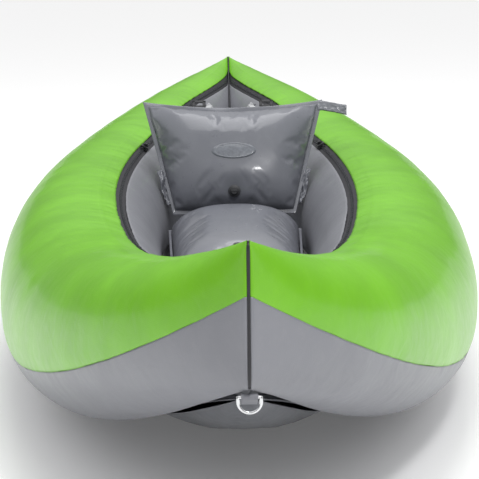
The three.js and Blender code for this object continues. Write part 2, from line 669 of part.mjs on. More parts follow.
// The stay on each side: a tab on the back of the backrest, a ladder-lock buckle, webbing and a wall anchor.
const ADJUSTER = { up: 284, out: -44, width: 30, height: 28, thick: 4, slot: 5 };
const stayTab = () => {
  const half = STAY.width / 2;
  const strip = new THREE.BoxGeometry(2 * half, 46, STAY.thick);
  const foot = new THREE.Vector3(STAY.x, ADJUSTER.up - 70, -BACK.thickness / 2 - 2.4);
  const head = new THREE.Vector3(STAY.x, ADJUSTER.up - ADJUSTER.height / 2 - 2, ADJUSTER.out);
  const middle = foot.clone().add(head).multiplyScalar(0.5);
  strip.rotateX(Math.atan2(head.z - foot.z, head.y - foot.y)).translate(middle.x, middle.y, middle.z);
  return solid(strip.applyMatrix4(backPlace));
};
function adjuster() {
  const { up, out, width, height, thick, slot } = ADJUSTER;
  const frame = new THREE.Shape([
    new THREE.Vector2(-width / 2, -height / 2),
    new THREE.Vector2(width / 2, -height / 2),
    new THREE.Vector2(width / 2, height / 2),
    new THREE.Vector2(-width / 2, height / 2),
  ]);
  for (const middle of [-slot * 1.1, slot * 1.1]) {
    const half = { x: STAY.width / 2 + 1, y: slot / 2 };
    frame.holes.push(
      new THREE.Path([
        new THREE.Vector2(-half.x, middle - half.y),
        new THREE.Vector2(-half.x, middle + half.y),
        new THREE.Vector2(half.x, middle + half.y),
        new THREE.Vector2(half.x, middle - half.y),
      ]),
    );
  }
  const plate = new THREE.ExtrudeGeometry(frame, { depth: thick, bevelEnabled: false });
  return solid(plate.translate(STAY.x, up, out - thick / 2).applyMatrix4(backPlace));
}
const anchorPlace = placeOnTube(tAtY(STAY.anchorY), STAY.anchorAngle);
function stayAnchor() {
  const patch = block(new THREE.Vector3(-20, -13, 1.6), new THREE.Vector3(20, 13, 3));
  const loop = block(new THREE.Vector3(-16, -10, 2), new THREE.Vector3(-4, 10, 12));
  const eye = block(new THREE.Vector3(-18, -8, 4), new THREE.Vector3(0, 8, 9));
  return moved(patch.add(loop.subtract(eye)), anchorPlace);
}
function stay() {
  const head = onBackFrame(STAY.x, ADJUSTER.up - 6, ADJUSTER.out - 22);
  const foot = new THREE.Vector3(-34, 0, 14).applyMatrix4(anchorPlace);
  const along = foot.clone().sub(head);
  const length = along.length();
  along.normalize();
  const out = new THREE.Vector3().crossVectors(new THREE.Vector3(1, 0, 0), along).normalize();
  const side = new THREE.Vector3().crossVectors(along, out);
  const middle = head.clone().add(foot).multiplyScalar(0.5);
  const strip = new THREE.BoxGeometry(STAY.width, length, STAY.thick);
  return solid(strip.applyMatrix4(new THREE.Matrix4().makeBasis(side, along, out).setPosition(middle)));
}

// ---------------------------------------------------------------- the kayak
const kayak = new THREE.Group();
kayak.name = "inflatable_kayak";
const one = (name, body, material) => kayak.add(named(name, body, material));
const pair = (name, body, material) => {
  one(`${name}_port`, body, material);
  one(`${name}_starboard`, body.mirror([1, 0, 0]), material);
};

pair("tube_top_panel", topPanel, GREEN);
pair("tube_bottom_panel", bottomPanel, GREY);
pair("tube_inner_panel", innerPanel, GREY);
pair("air_cell", sideCell, FILM);
pair("zip", zip, BLACK);
pair("zip_slider", moved(zipSlider(), sliderPlace), PLASTIC);
pair("zip_pull", moved(zipPull(), sliderPlace), PLASTIC);
pair("valve_body", moved(valveBody(), sideValvePlace), PLASTIC);
pair("valve_button", moved(valveButton(), sideValvePlace), PLASTIC);
pair("valve_cap", moved(valveCap(), sideValvePlace), PLASTIC);

one("floor_top_panel", floorTopPanel, GREY);
one("floor_bottom_panel", floorBottomPanel, GREY);
one("floor_air_cell", floorCell, FILM);
one("floor_valve_body", moved(valveBody(), floorValvePlace), PLASTIC);
one("floor_valve_button", moved(valveButton(), floorValvePlace), PLASTIC);
one("floor_valve_cap", moved(valveCap(), floorValvePlace), PLASTIC);

one("bow_welt", welt(-1), BLACK);
one("stern_welt", welt(1), BLACK);
one("bow_ring_tab", ringTab(-1), GREY);
one("stern_ring_tab", ringTab(1), GREY);
one("bow_ring", dRing(-1), STEEL);
one("stern_ring", dRing(1), STEEL);

one("seat_base", cushion(seatShape, { u: 8, v: 10 }, onSeat), GREY);
one("seat_base_valve", moved(twistSeat(), seatValvePlace), PLASTIC);
one("seat_base_valve_stem", moved(twistStem(), seatValvePlace), PLASTIC);
one("backrest", cushion(backShape, { u: 10, v: 8 }, onBack), GREY);
one("backrest_badge", badge(), PLASTIC);
one("backrest_valve", moved(twistSeat(), backValvePlace), PLASTIC);
one("backrest_valve_stem", moved(twistStem(), backValvePlace), PLASTIC);
one("backrest_corner_tab", cornerTab(), WEBBING);
pair("backrest_flap", sideFlap(), WEBBING);
pair("stay_tab", stayTab(), WEBBING);
pair("stay_adjuster", adjuster(), PLASTIC);
pair("stay", stay(), WEBBING);
pair("stay_anchor", stayAnchor(), GREY);

export default kayak;
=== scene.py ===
# %% [markdown]
# # An inflatable kayak
# The boat is two long side tubes, a floor slung between them and a blown-up seat. Each tube is a cover of
# PVC-coated cloth, zipped shut over a separate air cell. This lesson dresses a finished mechanical model of
# the boat: it keeps the places and the joints, and makes every surface anew, fine enough to wrinkle and
# shine.

# %% Load the mechanical model
import math
import bpy
import numpy as np
from mathutils import Matrix, Vector


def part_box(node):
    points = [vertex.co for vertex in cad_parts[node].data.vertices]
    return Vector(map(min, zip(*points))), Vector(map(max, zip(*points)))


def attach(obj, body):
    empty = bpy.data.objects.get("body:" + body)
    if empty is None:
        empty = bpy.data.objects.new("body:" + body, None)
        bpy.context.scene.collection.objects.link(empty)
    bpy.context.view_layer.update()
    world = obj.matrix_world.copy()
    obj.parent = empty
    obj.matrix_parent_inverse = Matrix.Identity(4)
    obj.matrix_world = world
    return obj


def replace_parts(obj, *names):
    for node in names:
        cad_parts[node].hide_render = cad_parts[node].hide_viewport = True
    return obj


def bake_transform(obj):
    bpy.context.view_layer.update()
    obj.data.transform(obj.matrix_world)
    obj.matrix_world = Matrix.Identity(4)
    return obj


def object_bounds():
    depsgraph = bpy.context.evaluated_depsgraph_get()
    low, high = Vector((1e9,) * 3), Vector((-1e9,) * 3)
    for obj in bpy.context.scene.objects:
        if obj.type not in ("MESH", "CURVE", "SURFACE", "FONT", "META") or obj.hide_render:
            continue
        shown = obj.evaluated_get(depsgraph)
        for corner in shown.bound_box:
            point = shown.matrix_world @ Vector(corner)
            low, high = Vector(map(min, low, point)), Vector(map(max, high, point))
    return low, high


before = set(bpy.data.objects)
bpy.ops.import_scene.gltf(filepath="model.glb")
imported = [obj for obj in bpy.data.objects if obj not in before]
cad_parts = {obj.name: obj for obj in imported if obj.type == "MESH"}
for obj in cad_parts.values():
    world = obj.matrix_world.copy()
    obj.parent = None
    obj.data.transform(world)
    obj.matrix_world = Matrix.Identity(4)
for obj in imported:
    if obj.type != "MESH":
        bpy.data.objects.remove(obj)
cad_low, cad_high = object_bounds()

scene = bpy.context.scene
print("boat is", [round(v, 3) for v in (cad_high - cad_low)], "m")

# %% [markdown]
# ## The camera
# It stands in front of the bow, four metres ahead of the boat's middle and one metre up, and looks down the
# boat. A long lens fills the frame from there.

# %% Camera
CAMERA_PLACE = (-0.041, -4.138, 1.015)
YAW, PITCH, ROLL = (math.radians(a) for a in (0.669, -11.235, -0.671))
LENS_MM = 155.9

forward = Vector((math.sin(YAW) * math.cos(PITCH), math.cos(YAW) * math.cos(PITCH), math.sin(PITCH)))
right = forward.cross(Vector((0, 0, 1))).normalized()
up = right.cross(forward)
right, up = right * math.cos(ROLL) + up * math.sin(ROLL), up * math.cos(ROLL) - right * math.sin(ROLL)
camera = bpy.data.objects.new("camera", bpy.data.cameras.new("camera"))
camera.data.lens = LENS_MM
camera.data.sensor_width = 36
camera.data.clip_end = 100
camera.matrix_world = Matrix((
    (right.x, up.x, -forward.x, CAMERA_PLACE[0]),
    (right.y, up.y, -forward.y, CAMERA_PLACE[1]),
    (right.z, up.z, -forward.z, CAMERA_PLACE[2]),
    (0, 0, 0, 1)))
scene.collection.objects.link(camera)
scene.camera = camera

# %% [markdown]
# ## Colour and nodes
# Paints are easiest to name by the hex code that a screen shows. Blender wants linear light, so one
# function converts. A second one adds a shader node with its settings and its links, which keeps each
# material short.

# %% Helpers for materials
def linear(hex_code):
    """An sRGB hex colour as linear RGBA."""
    parts = [int(hex_code[i:i + 2], 16) / 255 for i in (1, 3, 5)]
    return [c / 12.92 if c <= 0.04045 else ((c + 0.055) / 1.055) ** 2.4 for c in parts] + [1.0]


def node(tree, kind, settings=None, links=None):
    """Adds a node. settings sets attributes or, by socket name, values; links joins sockets of other nodes."""
    made = tree.nodes.new(kind)
    for key, value in (settings or {}).items():
        if hasattr(made, key):
            setattr(made, key, value)
        else:
            made.inputs[key].default_value = value
    for key, source in (links or {}).items():
        tree.links.new(source, made.inputs[key])
    return made


def new_material(name, base, roughness, metallic=0.0, ior=1.5, coat=0.0, coat_roughness=0.1):
    """A material with its shader: the one even colour and finish from which the pattern then departs."""
    material = bpy.data.materials.new(name)
    material.use_nodes = True
    shader = material.node_tree.nodes["Principled BSDF"]
    shader.inputs["Base Color"].default_value = linear(base)
    shader.inputs["Roughness"].default_value = roughness
    shader.inputs["Metallic"].default_value = metallic
    shader.inputs["IOR"].default_value = ior
    shader.inputs["Coat Weight"].default_value = coat
    shader.inputs["Coat Roughness"].default_value = coat_roughness
    return material, material.node_tree, shader


def per_metre(size_mm):
    """The texture scale at which one cell of a pattern is this many millimetres."""
    return 1000.0 / size_mm


# %% [markdown]
# ## PVC-coated polyester
# The covers are a woven polyester base with a thick gloss PVC coat, called tarpaulin. The eye gets three
# things from it: a soft gloss with a sharp clear layer over it, a faint weave that prints through the coat,
# and slow changes of tone where the sheet has been rolled and handled. The weave is about half a millimetre
# in reality and is drawn at 4.7 mm so that it can be seen. One function makes the cloth in each colour,
# because only the colours and a few depths differ.

# %% Coated cloth
WAVE_UNIT = 2 * math.pi / 20  # a wave texture has 20 radians of wave in each unit of its coordinate


def coated_cloth(name, base, shade, pale, roughness, coat, weave_mm=4.735, weave_depth=0.12, crumple=0.25):
    material, tree, shader = new_material(name, base, roughness, ior=1.4, coat=coat, coat_roughness=0.09)
    place = node(tree, "ShaderNodeTexCoord")
    slow = node(tree, "ShaderNodeTexNoise", {"Scale": per_metre(170), "Detail": 4.0, "Roughness": 0.55},
                {"Vector": place.outputs["Object"]})
    quick = node(tree, "ShaderNodeTexNoise", {"Scale": per_metre(21), "Detail": 5.0, "Roughness": 0.6},
                 {"Vector": place.outputs["Object"]})
    tone = node(tree, "ShaderNodeValToRGB", {}, {"Fac": slow.outputs["Fac"]})
    tone.color_ramp.elements[0].position, tone.color_ramp.elements[1].position = 0.36, 0.66
    tone.color_ramp.elements[0].color, tone.color_ramp.elements[1].color = linear(shade), linear(base)
    handled = node(tree, "ShaderNodeValToRGB", {}, {"Fac": quick.outputs["Fac"]})
    handled.color_ramp.elements[0].position, handled.color_ramp.elements[1].position = 0.55, 0.8
    handled.color_ramp.elements[0].color = (0, 0, 0, 1)
    handled.color_ramp.elements[1].color = (0.3, 0.3, 0.3, 1)
    paint = node(tree, "ShaderNodeMix", {"data_type": "RGBA"})
    tree.links.new(handled.outputs["Color"], paint.inputs["Factor"])
    tree.links.new(tone.outputs["Color"], paint.inputs[6])
    paint.inputs[7].default_value = linear(pale)
    tree.links.new(paint.outputs[2], shader.inputs["Base Color"])
    rough = node(tree, "ShaderNodeMapRange", {"To Min": roughness - 0.06, "To Max": roughness + 0.1},
                 {"Value": quick.outputs["Fac"]})
    tree.links.new(rough.outputs["Result"], shader.inputs["Roughness"])
    flat = node(tree, "ShaderNodeUVMap", {"uv_map": "cut"})
    warp = node(tree, "ShaderNodeTexWave", {"Scale": per_metre(weave_mm) * WAVE_UNIT, "bands_direction": "X"},
                {"Vector": flat.outputs["UV"]})
    weft = node(tree, "ShaderNodeTexWave", {"Scale": per_metre(weave_mm) * WAVE_UNIT, "bands_direction": "Y"},
                {"Vector": flat.outputs["UV"]})
    weave = node(tree, "ShaderNodeMath", {"operation": "MULTIPLY"})
    tree.links.new(warp.outputs["Fac"], weave.inputs[0])
    tree.links.new(weft.outputs["Fac"], weave.inputs[1])
    print_through = node(tree, "ShaderNodeBump", {"Strength": weave_depth, "Distance": 0.0004},
                         {"Height": weave.outputs["Value"]})
    creases = node(tree, "ShaderNodeTexNoise", {"Scale": per_metre(38), "Detail": 3.0, "Distortion": 0.6},
                   {"Vector": place.outputs["Object"]})
    crumpled = node(tree, "ShaderNodeBump", {"Strength": crumple, "Distance": 0.004},
                    {"Height": creases.outputs["Fac"], "Normal": print_through.outputs["Normal"]})
    tree.links.new(crumpled.outputs["Normal"], shader.inputs["Normal"])
    return material


GREEN_TARPAULIN = coated_cloth("lime_pvc_tarpaulin", "#74BC14", "#6AAE10", "#82C42C", 0.34, 0.16)
GREY_TARPAULIN = coated_cloth("grey_pvc_tarpaulin", "#84858B", "#7D7E84", "#8E8F94", 0.4, 0.08)
INNER_TARPAULIN = coated_cloth("inner_grey_pvc_tarpaulin", "#7E7F85", "#76777D", "#8C8D92", 0.42, 0.12)
# The floor's cloth is the tubes' grey made darker: the darker grey is painted shade, for the shadow under and
# between the tubes.
FLOOR_TARPAULIN_PAINTED_SHADE = coated_cloth("grey_floor_tarpaulin_darkened_as_painted_shade", "#66686D", "#5F6166", "#74767B", 0.38, 0.2)
SEAT_VINYL = coated_cloth("grey_seat_vinyl", "#6C6E75", "#65676F", "#787A81", 0.28, 0.3, 3.551, 0.05, 0.06)
WEBBING = coated_cloth("pale_grey_webbing", "#B9BABC", "#A9AAAD", "#CACBCC", 0.7, 0.0, 5.919, 0.9, 0.1)
print("cloths:", [m.name for m in bpy.data.materials])

# %% [markdown]
# ## Moulded plastic, rubber, zip tape and steel
# The small parts are acetal and ABS mouldings with a fine spark-eroded texture, a soft black PVC welt, a
# woven nylon zip tape and a bent stainless wire ring. Each gets a fine grain of its own, because a flat
# black hides the shape of a small part.

# %% Hard and small materials
def grained(name, base, pale, roughness, grain_mm, depth, metallic=0.0, ior=1.5):
    material, tree, shader = new_material(name, base, roughness, metallic, ior)
    place = node(tree, "ShaderNodeTexCoord")
    grain = node(tree, "ShaderNodeTexNoise", {"Scale": per_metre(grain_mm), "Detail": 3.0},
                 {"Vector": place.outputs["Object"]})
    tone = node(tree, "ShaderNodeValToRGB", {}, {"Fac": grain.outputs["Fac"]})
    tone.color_ramp.elements[0].color, tone.color_ramp.elements[1].color = linear(base), linear(pale)
    tree.links.new(tone.outputs["Color"], shader.inputs["Base Color"])
    rough = node(tree, "ShaderNodeMapRange", {"To Min": roughness - 0.06, "To Max": roughness + 0.08},
                 {"Value": grain.outputs["Fac"]})
    tree.links.new(rough.outputs["Result"], shader.inputs["Roughness"])
    bump = node(tree, "ShaderNodeBump", {"Strength": 0.4, "Distance": depth}, {"Height": grain.outputs["Fac"]})
    tree.links.new(bump.outputs["Normal"], shader.inputs["Normal"])
    return material


BLACK_ABS = grained("black_abs", "#1C1D20", "#2C2D31", 0.42, 1.2, 0.0002)
WELT_PVC = grained("black_pvc_welt", "#19191C", "#2A2A2E", 0.4, 3.0, 0.0003)
ZIP_TAPE = grained("woven_nylon_zip_tape", "#1A1A1D", "#303036", 0.75, 1.6, 0.0006)
ZIP_TEETH = grained("moulded_acetal_zip_teeth", "#2E2F33", "#4A4B50", 0.3, 1.0, 0.0001)
STAINLESS = grained("polished_stainless_wire", "#C9CBCD", "#E2E3E4", 0.16, 2.0, 0.00004, metallic=1.0)
BADGE = grained("welded_badge_film", "#55585F", "#7C8088", 0.18, 6.0, 0.0004)

# %% [markdown]
# ## Sheets of cloth as meshes
# Everything soft here is a grid of points bent over a shape. A grid keeps its rows along the cloth's
# threads, so its flat coordinates, in metres, can carry the weave. Noise made in code gives the folds, and
# it is seeded, so that each run folds alike.

# %% Helpers for meshes
lattice = np.random.RandomState(11).rand(8, 256, 256)


def noise(x, y, layer=0):
    """Smooth noise from 0 to 1 with one cell per unit."""
    grid = lattice[layer]
    ix, iy = np.floor(x).astype(int), np.floor(y).astype(int)
    fx, fy = x - ix, y - iy
    fx, fy = fx * fx * (3 - 2 * fx), fy * fy * (3 - 2 * fy)
    at = lambda a, b: grid[a % 256, b % 256]
    low = at(ix, iy) * (1 - fx) + at(ix + 1, iy) * fx
    high = at(ix, iy + 1) * (1 - fx) + at(ix + 1, iy + 1) * fx
    return low * (1 - fy) + high * fy


def mesh_object(name, points, faces, material, uvs=None, smooth=True, sharp=None):
    mesh = bpy.data.meshes.new(name)
    mesh.from_pydata([tuple(p) for p in points], [], faces)
    mesh.validate()
    if uvs is not None:
        layer = mesh.uv_layers.new(name="cut")
        loops = np.zeros(len(mesh.loops), np.int32)
        mesh.loops.foreach_get("vertex_index", loops)
        layer.data.foreach_set("uv", np.asarray(uvs, np.float32)[loops].ravel())
    if smooth:
        mesh.shade_smooth()
    if sharp is not None:
        mesh.set_sharp_from_angle(angle=math.radians(sharp))
    mesh.materials.append(material)
    made = bpy.data.objects.new(name, mesh)
    scene.collection.objects.link(made)
    return made


def grid_faces(rows, columns, wrap=False):
    index = np.arange(rows * columns).reshape(rows, columns)
    after = np.roll(index, -1, 1) if wrap else index[:, 1:]
    here = index if wrap else index[:, :-1]
    quads = np.stack([here[:-1], after[:-1], after[1:], here[1:]], -1)
    return quads.reshape(-1, 4).tolist()


def cloth_sheet(name, grid, material, thickness=0.0014, flip=False):
    """A grid of points (rows, columns, 3) as a sheet with a real thickness, which grows inwards."""
    rows, columns, _ = grid.shape
    along = np.cumsum(np.r_[0, np.linalg.norm(np.diff(grid[:, columns // 2], axis=0), axis=1)])
    across = np.cumsum(np.r_[0, np.linalg.norm(np.diff(grid[rows // 2], axis=0), axis=1)])
    uvs = np.stack(np.meshgrid(along, across, indexing="ij"), -1).reshape(-1, 2)
    faces = grid_faces(rows, columns)
    if flip:
        faces = [face[::-1] for face in faces]
    made = mesh_object(name, grid.reshape(-1, 3), faces, material, uvs)
    wall = made.modifiers.new("thickness", "SOLIDIFY")
    wall.thickness = thickness
    wall.offset = -1
    return made


def mirrored(grid):
    return grid * np.array([-1.0, 1.0, 1.0])


# %% [markdown]
# ## The shape of a side tube
# The tube's centreline is an arc of a large circle. It is level and of one size amidships, then thins and
# rises towards the ends, where its round section is pinched into an upright seam. These are the same sizes
# that the mechanical model has, in millimetres.

# %% The side tube as a function
TUBE_RADIUS, TUBE_OFFSET, HALF_LENGTH = 153.0, 304.0, 1552.0
LEVEL_SHARE, TAPER, RISE, DRAUGHT = 0.35, 1.65, 1.55, 24.0
BOW = {"radius": 75.0, "rise": 225.0, "flat": 0.07, "tall": 1.3, "pinch": 7.0}
STERN = {"radius": 84.0, "rise": 124.0, "flat": 0.07, "tall": 1.15, "pinch": 9.0}
ZIP_ANGLE, ZIP_SINK, ZIP_WIDTH, CHINE_ANGLE = 60.0, 13.5, 22.0, 325.0
COLOUR_MID, COLOUR_END, COLOUR_POWER = 202.0, 165.4, 7.3
ARC_RADIUS = (TUBE_OFFSET ** 2 + HALF_LENGTH ** 2) / (2 * TUBE_OFFSET)
ARC_CENTRE = ARC_RADIUS - TUBE_OFFSET
ARC_HALF = math.asin(HALF_LENGTH / ARC_RADIUS)


def tube_size(t):
    """The tube's half width, half height and centre height, in mm, from t = -1 at the bow to 1 astern."""
    reach = np.clip((np.abs(t) - LEVEL_SHARE) / (1 - LEVEL_SHARE), 0, 1)
    pick = lambda key: np.where(t < 0, BOW[key], STERN[key])
    radius = TUBE_RADIUS + (pick("radius") - TUBE_RADIUS) * reach ** TAPER
    pinch = reach ** pick("pinch")
    half_width = radius * (1 + (pick("flat") - 1) * pinch)
    half_height = radius * (1 + (pick("tall") - 1) * pinch)
    return half_width, half_height, DRAUGHT + TUBE_RADIUS + pick("rise") * reach ** RISE


def tube_points(t, angle, offset=0.0):
    """Points on the port tube in mm. The angle starts level on the cockpit side and rises over the top."""
    half_width, half_height, centre = tube_size(t)
    turn, along = np.radians(angle), t * ARC_HALF
    r = ARC_RADIUS - (half_width + offset) * np.cos(turn)
    return np.stack([r * np.cos(along) - ARC_CENTRE, r * np.sin(along),
                     centre + (half_height + offset) * np.sin(turn)], -1)


def degrees_for(distance, t, angle):
    half_width, half_height, _ = tube_size(t)
    turn = np.radians(angle)
    return np.degrees(distance / np.hypot(half_width * np.sin(turn), half_height * np.cos(turn)))


def zip_angle(t):
    """The zip sinks to the cockpit side towards the ends, where the two zips meet in a V."""
    return ZIP_ANGLE - ZIP_SINK * np.clip((np.abs(t) - 0.65) / 0.27, 0, 1) ** 1.6


t_at = lambda y: math.asin(y / ARC_RADIUS) / ARC_HALF
colour_seam = lambda t: COLOUR_MID + (COLOUR_END - COLOUR_MID) * np.abs(t) ** COLOUR_POWER
print("arc radius", round(ARC_RADIUS), "mm")

# %% [markdown]
# ## Skin the tubes
# Each panel is a grid between two seams. Three kinds of fold are pressed into it. Short puckers stand
# across the zip, where the tape gathers the cloth. Long soft waves lie where the cover is bent sideways.
# And a low ridge runs where the seam allowance is welded under the cover. Where the two tubes meet, both
# covers are held just clear of the middle plane, which flattens them against each other as on the real
# boat.

# %% Tube covers
ROWS = 420
stations = 0.5 * np.linspace(-1, 1, ROWS) + 0.5 * np.sin(np.linspace(-1, 1, ROWS) * np.pi / 2)
MIDDLE_GAP = 2.2


def puckers(length_mm, distance_mm, layer, pitch=26.0, reach=45.0, depth=2.2):
    """Folds across a gathered edge: deep at the edge, gone a hand's breadth away."""
    broad = noise(length_mm / pitch, distance_mm / 90.0, layer)
    fine = noise(length_mm / (pitch * 0.45), distance_mm / 60.0, layer + 1)
    folds = broad + 0.5 * fine
    sharp = 1 - np.abs(2 * (folds / 1.5) - 1)
    return depth * (sharp - 0.6) * np.exp(-distance_mm / reach)


def tube_panel(edge_from, edge_to, columns, side, gathered=None, seed=0, ridge_at=None):
    """A panel between two seam angles of one tube, with its folds, in metres."""
    t = stations[:, None]
    share = np.linspace(0, 1, columns)[None, :]
    first, last = edge_from(t), edge_to(t)
    angle = first + (last - first) * share
    t = np.broadcast_to(t, angle.shape)
    flat = tube_points(t, angle)
    size = np.hypot(*tube_size(t)[:2]) / math.sqrt(2)
    length = t * HALF_LENGTH * 1.03 + seed * 977.0
    reach_first, reach_last = np.radians(angle - first) * size, np.radians(last - angle) * size
    broad, fine = noise(length / 210.0, angle / 60.0, 2), noise(length / 60.0, angle / 38.0, 3)
    swell = 2.0 * (broad - 0.5) + 0.9 * (fine - 0.5)
    for edge, distance in (("first", reach_first), ("last", reach_last)):
        if gathered and edge in gathered:
            swell = swell + puckers(length, distance, 4 if edge == "first" else 5, *gathered[edge])
    if ridge_at is not None:
        swell = swell + 0.9 * np.exp(-((reach_first - ridge_at) / 2.2) ** 2)
    seam_dip = -1.4 * (np.exp(-reach_first / 5.0) + np.exp(-reach_last / 5.0))
    points = tube_points(t, angle, 0.9 + swell * np.clip((1 - np.abs(t)) * 14, 0.15, 1) + seam_dip * 0.6)
    points[..., 0] = np.maximum(points[..., 0], MIDDLE_GAP)
    closing = points[[0, -1]].copy()
    closing[..., 0] = MIDDLE_GAP - 0.4
    points = np.concatenate([closing[:1], points, closing[1:]]) / 1000.0
    return points if side == "port" else mirrored(points)


def zip_edge(sign):
    turns = 360 if sign < 0 else 0
    return lambda t: zip_angle(t) + sign * degrees_for(ZIP_WIDTH / 2, t, zip_angle(t)) + turns


chine = lambda t: CHINE_ANGLE + 0 * t
covers = 0
for side, seed in (("port", 0), ("starboard", 3)):
    # start, end, columns, puckers at an edge as (pitch, reach, depth) in mm, the ridge's place in mm, cloth
    panels = {
        "tube_top_panel": (zip_edge(1), colour_seam, 90,
                           {"first": (24.0, 48.0, 3.0), "last": (60.0, 30.0, 1.4)}, 34.0, GREEN_TARPAULIN),
        "tube_bottom_panel": (colour_seam, chine, 70, {"first": (55.0, 40.0, 2.2)}, None, GREY_TARPAULIN),
        "tube_inner_panel": (chine, zip_edge(-1), 60, {"last": (22.0, 40.0, 2.2)}, None, INNER_TARPAULIN),
    }
    for node_name, (start, stop, columns, gathered, ridge, material) in panels.items():
        grid = tube_panel(start, stop, columns, side, gathered, seed, ridge)
        piece = cloth_sheet(f"{node_name}_{side}_cover", grid, material, flip=side == "starboard")
        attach(piece, "hull")
        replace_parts(piece, f"{node_name}_{side}")
        covers += 1
print("covers:", covers)

# %% [markdown]
# ## Air cells
# Inside each cover is a bladder of clear film, which holds the air. It is a plain smooth tube that stays a
# few millimetres inside the cover and short of the pinched ends.

# %% Bladders
CELL_REACH = 1455.0
FILM = coated_cloth("clear_urethane_film", "#A9B0B6", "#9EA6AD", "#B9BFC4", 0.25, 0.3, 5.919, 0.02, 0.1)
CELL_ROWS, CELL_COLUMNS, CELL_GAP = 120, 48, 6.0
cell_stations = np.linspace(-1, 1, CELL_ROWS)[:, None] * math.asin(CELL_REACH / ARC_RADIUS) / ARC_HALF
cell_angles = np.linspace(0, 360, CELL_COLUMNS + 1)[None, :-1]
cell_stations, cell_angles = np.broadcast_arrays(cell_stations, cell_angles)
first_row = np.arange(CELL_COLUMNS)
next_along = np.roll(first_row, -1)
last_row = (CELL_ROWS - 1) * CELL_COLUMNS
bow_tip, stern_tip = CELL_ROWS * CELL_COLUMNS, CELL_ROWS * CELL_COLUMNS + 1
for side in ("port", "starboard"):
    skin = tube_points(cell_stations, cell_angles, -CELL_GAP)
    skin[..., 0] = np.maximum(skin[..., 0], CELL_GAP)
    ends = skin[[0, -1]].mean(1)
    points = np.concatenate([skin.reshape(-1, 3), ends]) / 1000
    faces = grid_faces(CELL_ROWS, CELL_COLUMNS, wrap=True)
    faces += [[bow_tip, int(b), int(a)] for a, b in zip(first_row, next_along)]
    faces += [[stern_tip, int(last_row + a), int(last_row + b)] for a, b in zip(first_row, next_along)]
    if side == "starboard":
        points, faces = mirrored(points), [face[::-1] for face in faces]
    bladder = mesh_object(f"air_cell_{side}_bladder", points, faces, FILM)
    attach(bladder, "hull")
    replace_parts(bladder, f"air_cell_{side}")

# %% [markdown]
# ## Zips
# Each cover opens along a zip on its top, so that the air cell can be taken out. A zip is three things: a
# woven tape that is sewn under both edges of the cover, and two rows of moulded teeth that mesh along its
# middle. The teeth are real little blocks, because their broken line of glints is what tells a zip from a
# stripe of paint.

# %% Zip tape and teeth
TOOTH_PITCH, TOOTH_LENGTH, TOOTH_REACH, TOOTH_HEIGHT = 5.0, 1.86, 3.4, 2.2
TAPE_COLUMNS = 9
BLOCK_FACES = [(0, 2, 3, 1), (4, 5, 7, 6), (0, 1, 5, 4), (1, 3, 7, 5), (3, 2, 6, 7), (2, 0, 4, 6)]


def boxes(centres, axes, sizes):
    """Many small blocks with narrower tops as points and faces. axes holds three unit vectors for each."""
    corners = np.array([(x, y, z) for z in (0, 1) for y in (-1, 1) for x in (-1, 1)], float)
    corners[4:, :2] *= 0.72
    scaled = corners * np.array([sizes[0] / 2, sizes[1] / 2, sizes[2]])
    points = centres[:, None, :] + np.einsum("kj,njd->nkd", scaled, axes)
    faces = (np.array(BLOCK_FACES)[None] + 8 * np.arange(len(centres))[:, None, None]).reshape(-1, 4)
    return points.reshape(-1, 3), faces.tolist()


for side in ("port", "starboard"):
    t = stations[:, None]
    half = degrees_for(ZIP_WIDTH / 2 + 3, t, zip_angle(t))
    share = np.linspace(-1, 1, TAPE_COLUMNS)[None, :]
    ripple = 0.5 * noise(t * HALF_LENGTH / 30.0, share * 2 + 7, 6) - 2.1
    tape = tube_points(np.broadcast_to(t, (ROWS, TAPE_COLUMNS)), zip_angle(t) + half * share, ripple)
    tape[..., 0] = np.maximum(tape[..., 0], 3.4)
    tape = tape / 1000
    tape = tape if side == "port" else mirrored(tape)
    piece = cloth_sheet(f"zip_{side}_tape", tape, ZIP_TAPE, 0.0012, flip=side == "starboard")
    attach(piece, "hull")
    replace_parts(piece, f"zip_{side}")

    fine = np.linspace(-0.99, 0.99, 4001)
    line = tube_points(fine, zip_angle(fine), -1.2)
    run = np.r_[0, np.cumsum(np.linalg.norm(np.diff(line, axis=0), axis=1))]
    at = np.interp(np.arange(2, run[-1], TOOTH_PITCH / 2), run, fine)
    centre = tube_points(at, zip_angle(at), -1.2)
    out = tube_points(at, zip_angle(at), 0.0) - centre
    out /= np.linalg.norm(out, axis=1, keepdims=True)
    along = tube_points(at + 0.001, zip_angle(at + 0.001), -1.2) - centre
    along /= np.linalg.norm(along, axis=1, keepdims=True)
    across = np.cross(out, along)
    swing = np.where(np.arange(len(at)) % 2 == 0, 1.0, -1.0)[:, None]
    centre = centre + across * swing * TOOTH_REACH * 0.32
    keep = centre[:, 0] > 6.5
    axes = np.stack([across, along, out], 1)
    points, faces = boxes(centre[keep], axes[keep], (TOOTH_REACH, TOOTH_LENGTH, TOOTH_HEIGHT))
    points = points / 1000
    if side == "starboard":
        points, faces = mirrored(points), [face[::-1] for face in faces]
    teeth = mesh_object(f"zip_{side}_teeth", points, faces, ZIP_TEETH, smooth=False)
    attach(teeth, "hull")
    print(side, "zip has", int(keep.sum()), "teeth")

# %% [markdown]
# ## Welts at bow and stern
# The two covers are joined at each end along an upright seam. A black PVC welt, a cord inside a folded
# strip, is welded in between them. Here it is a thin fin in the middle plane with a round bead swept along
# the outline of the pinched tubes. The outline is where the tube's surface crosses the middle plane, which
# can be worked out.

# %% Welts
WELT_BEAD, WELT_FIN = 2.5, 1.8


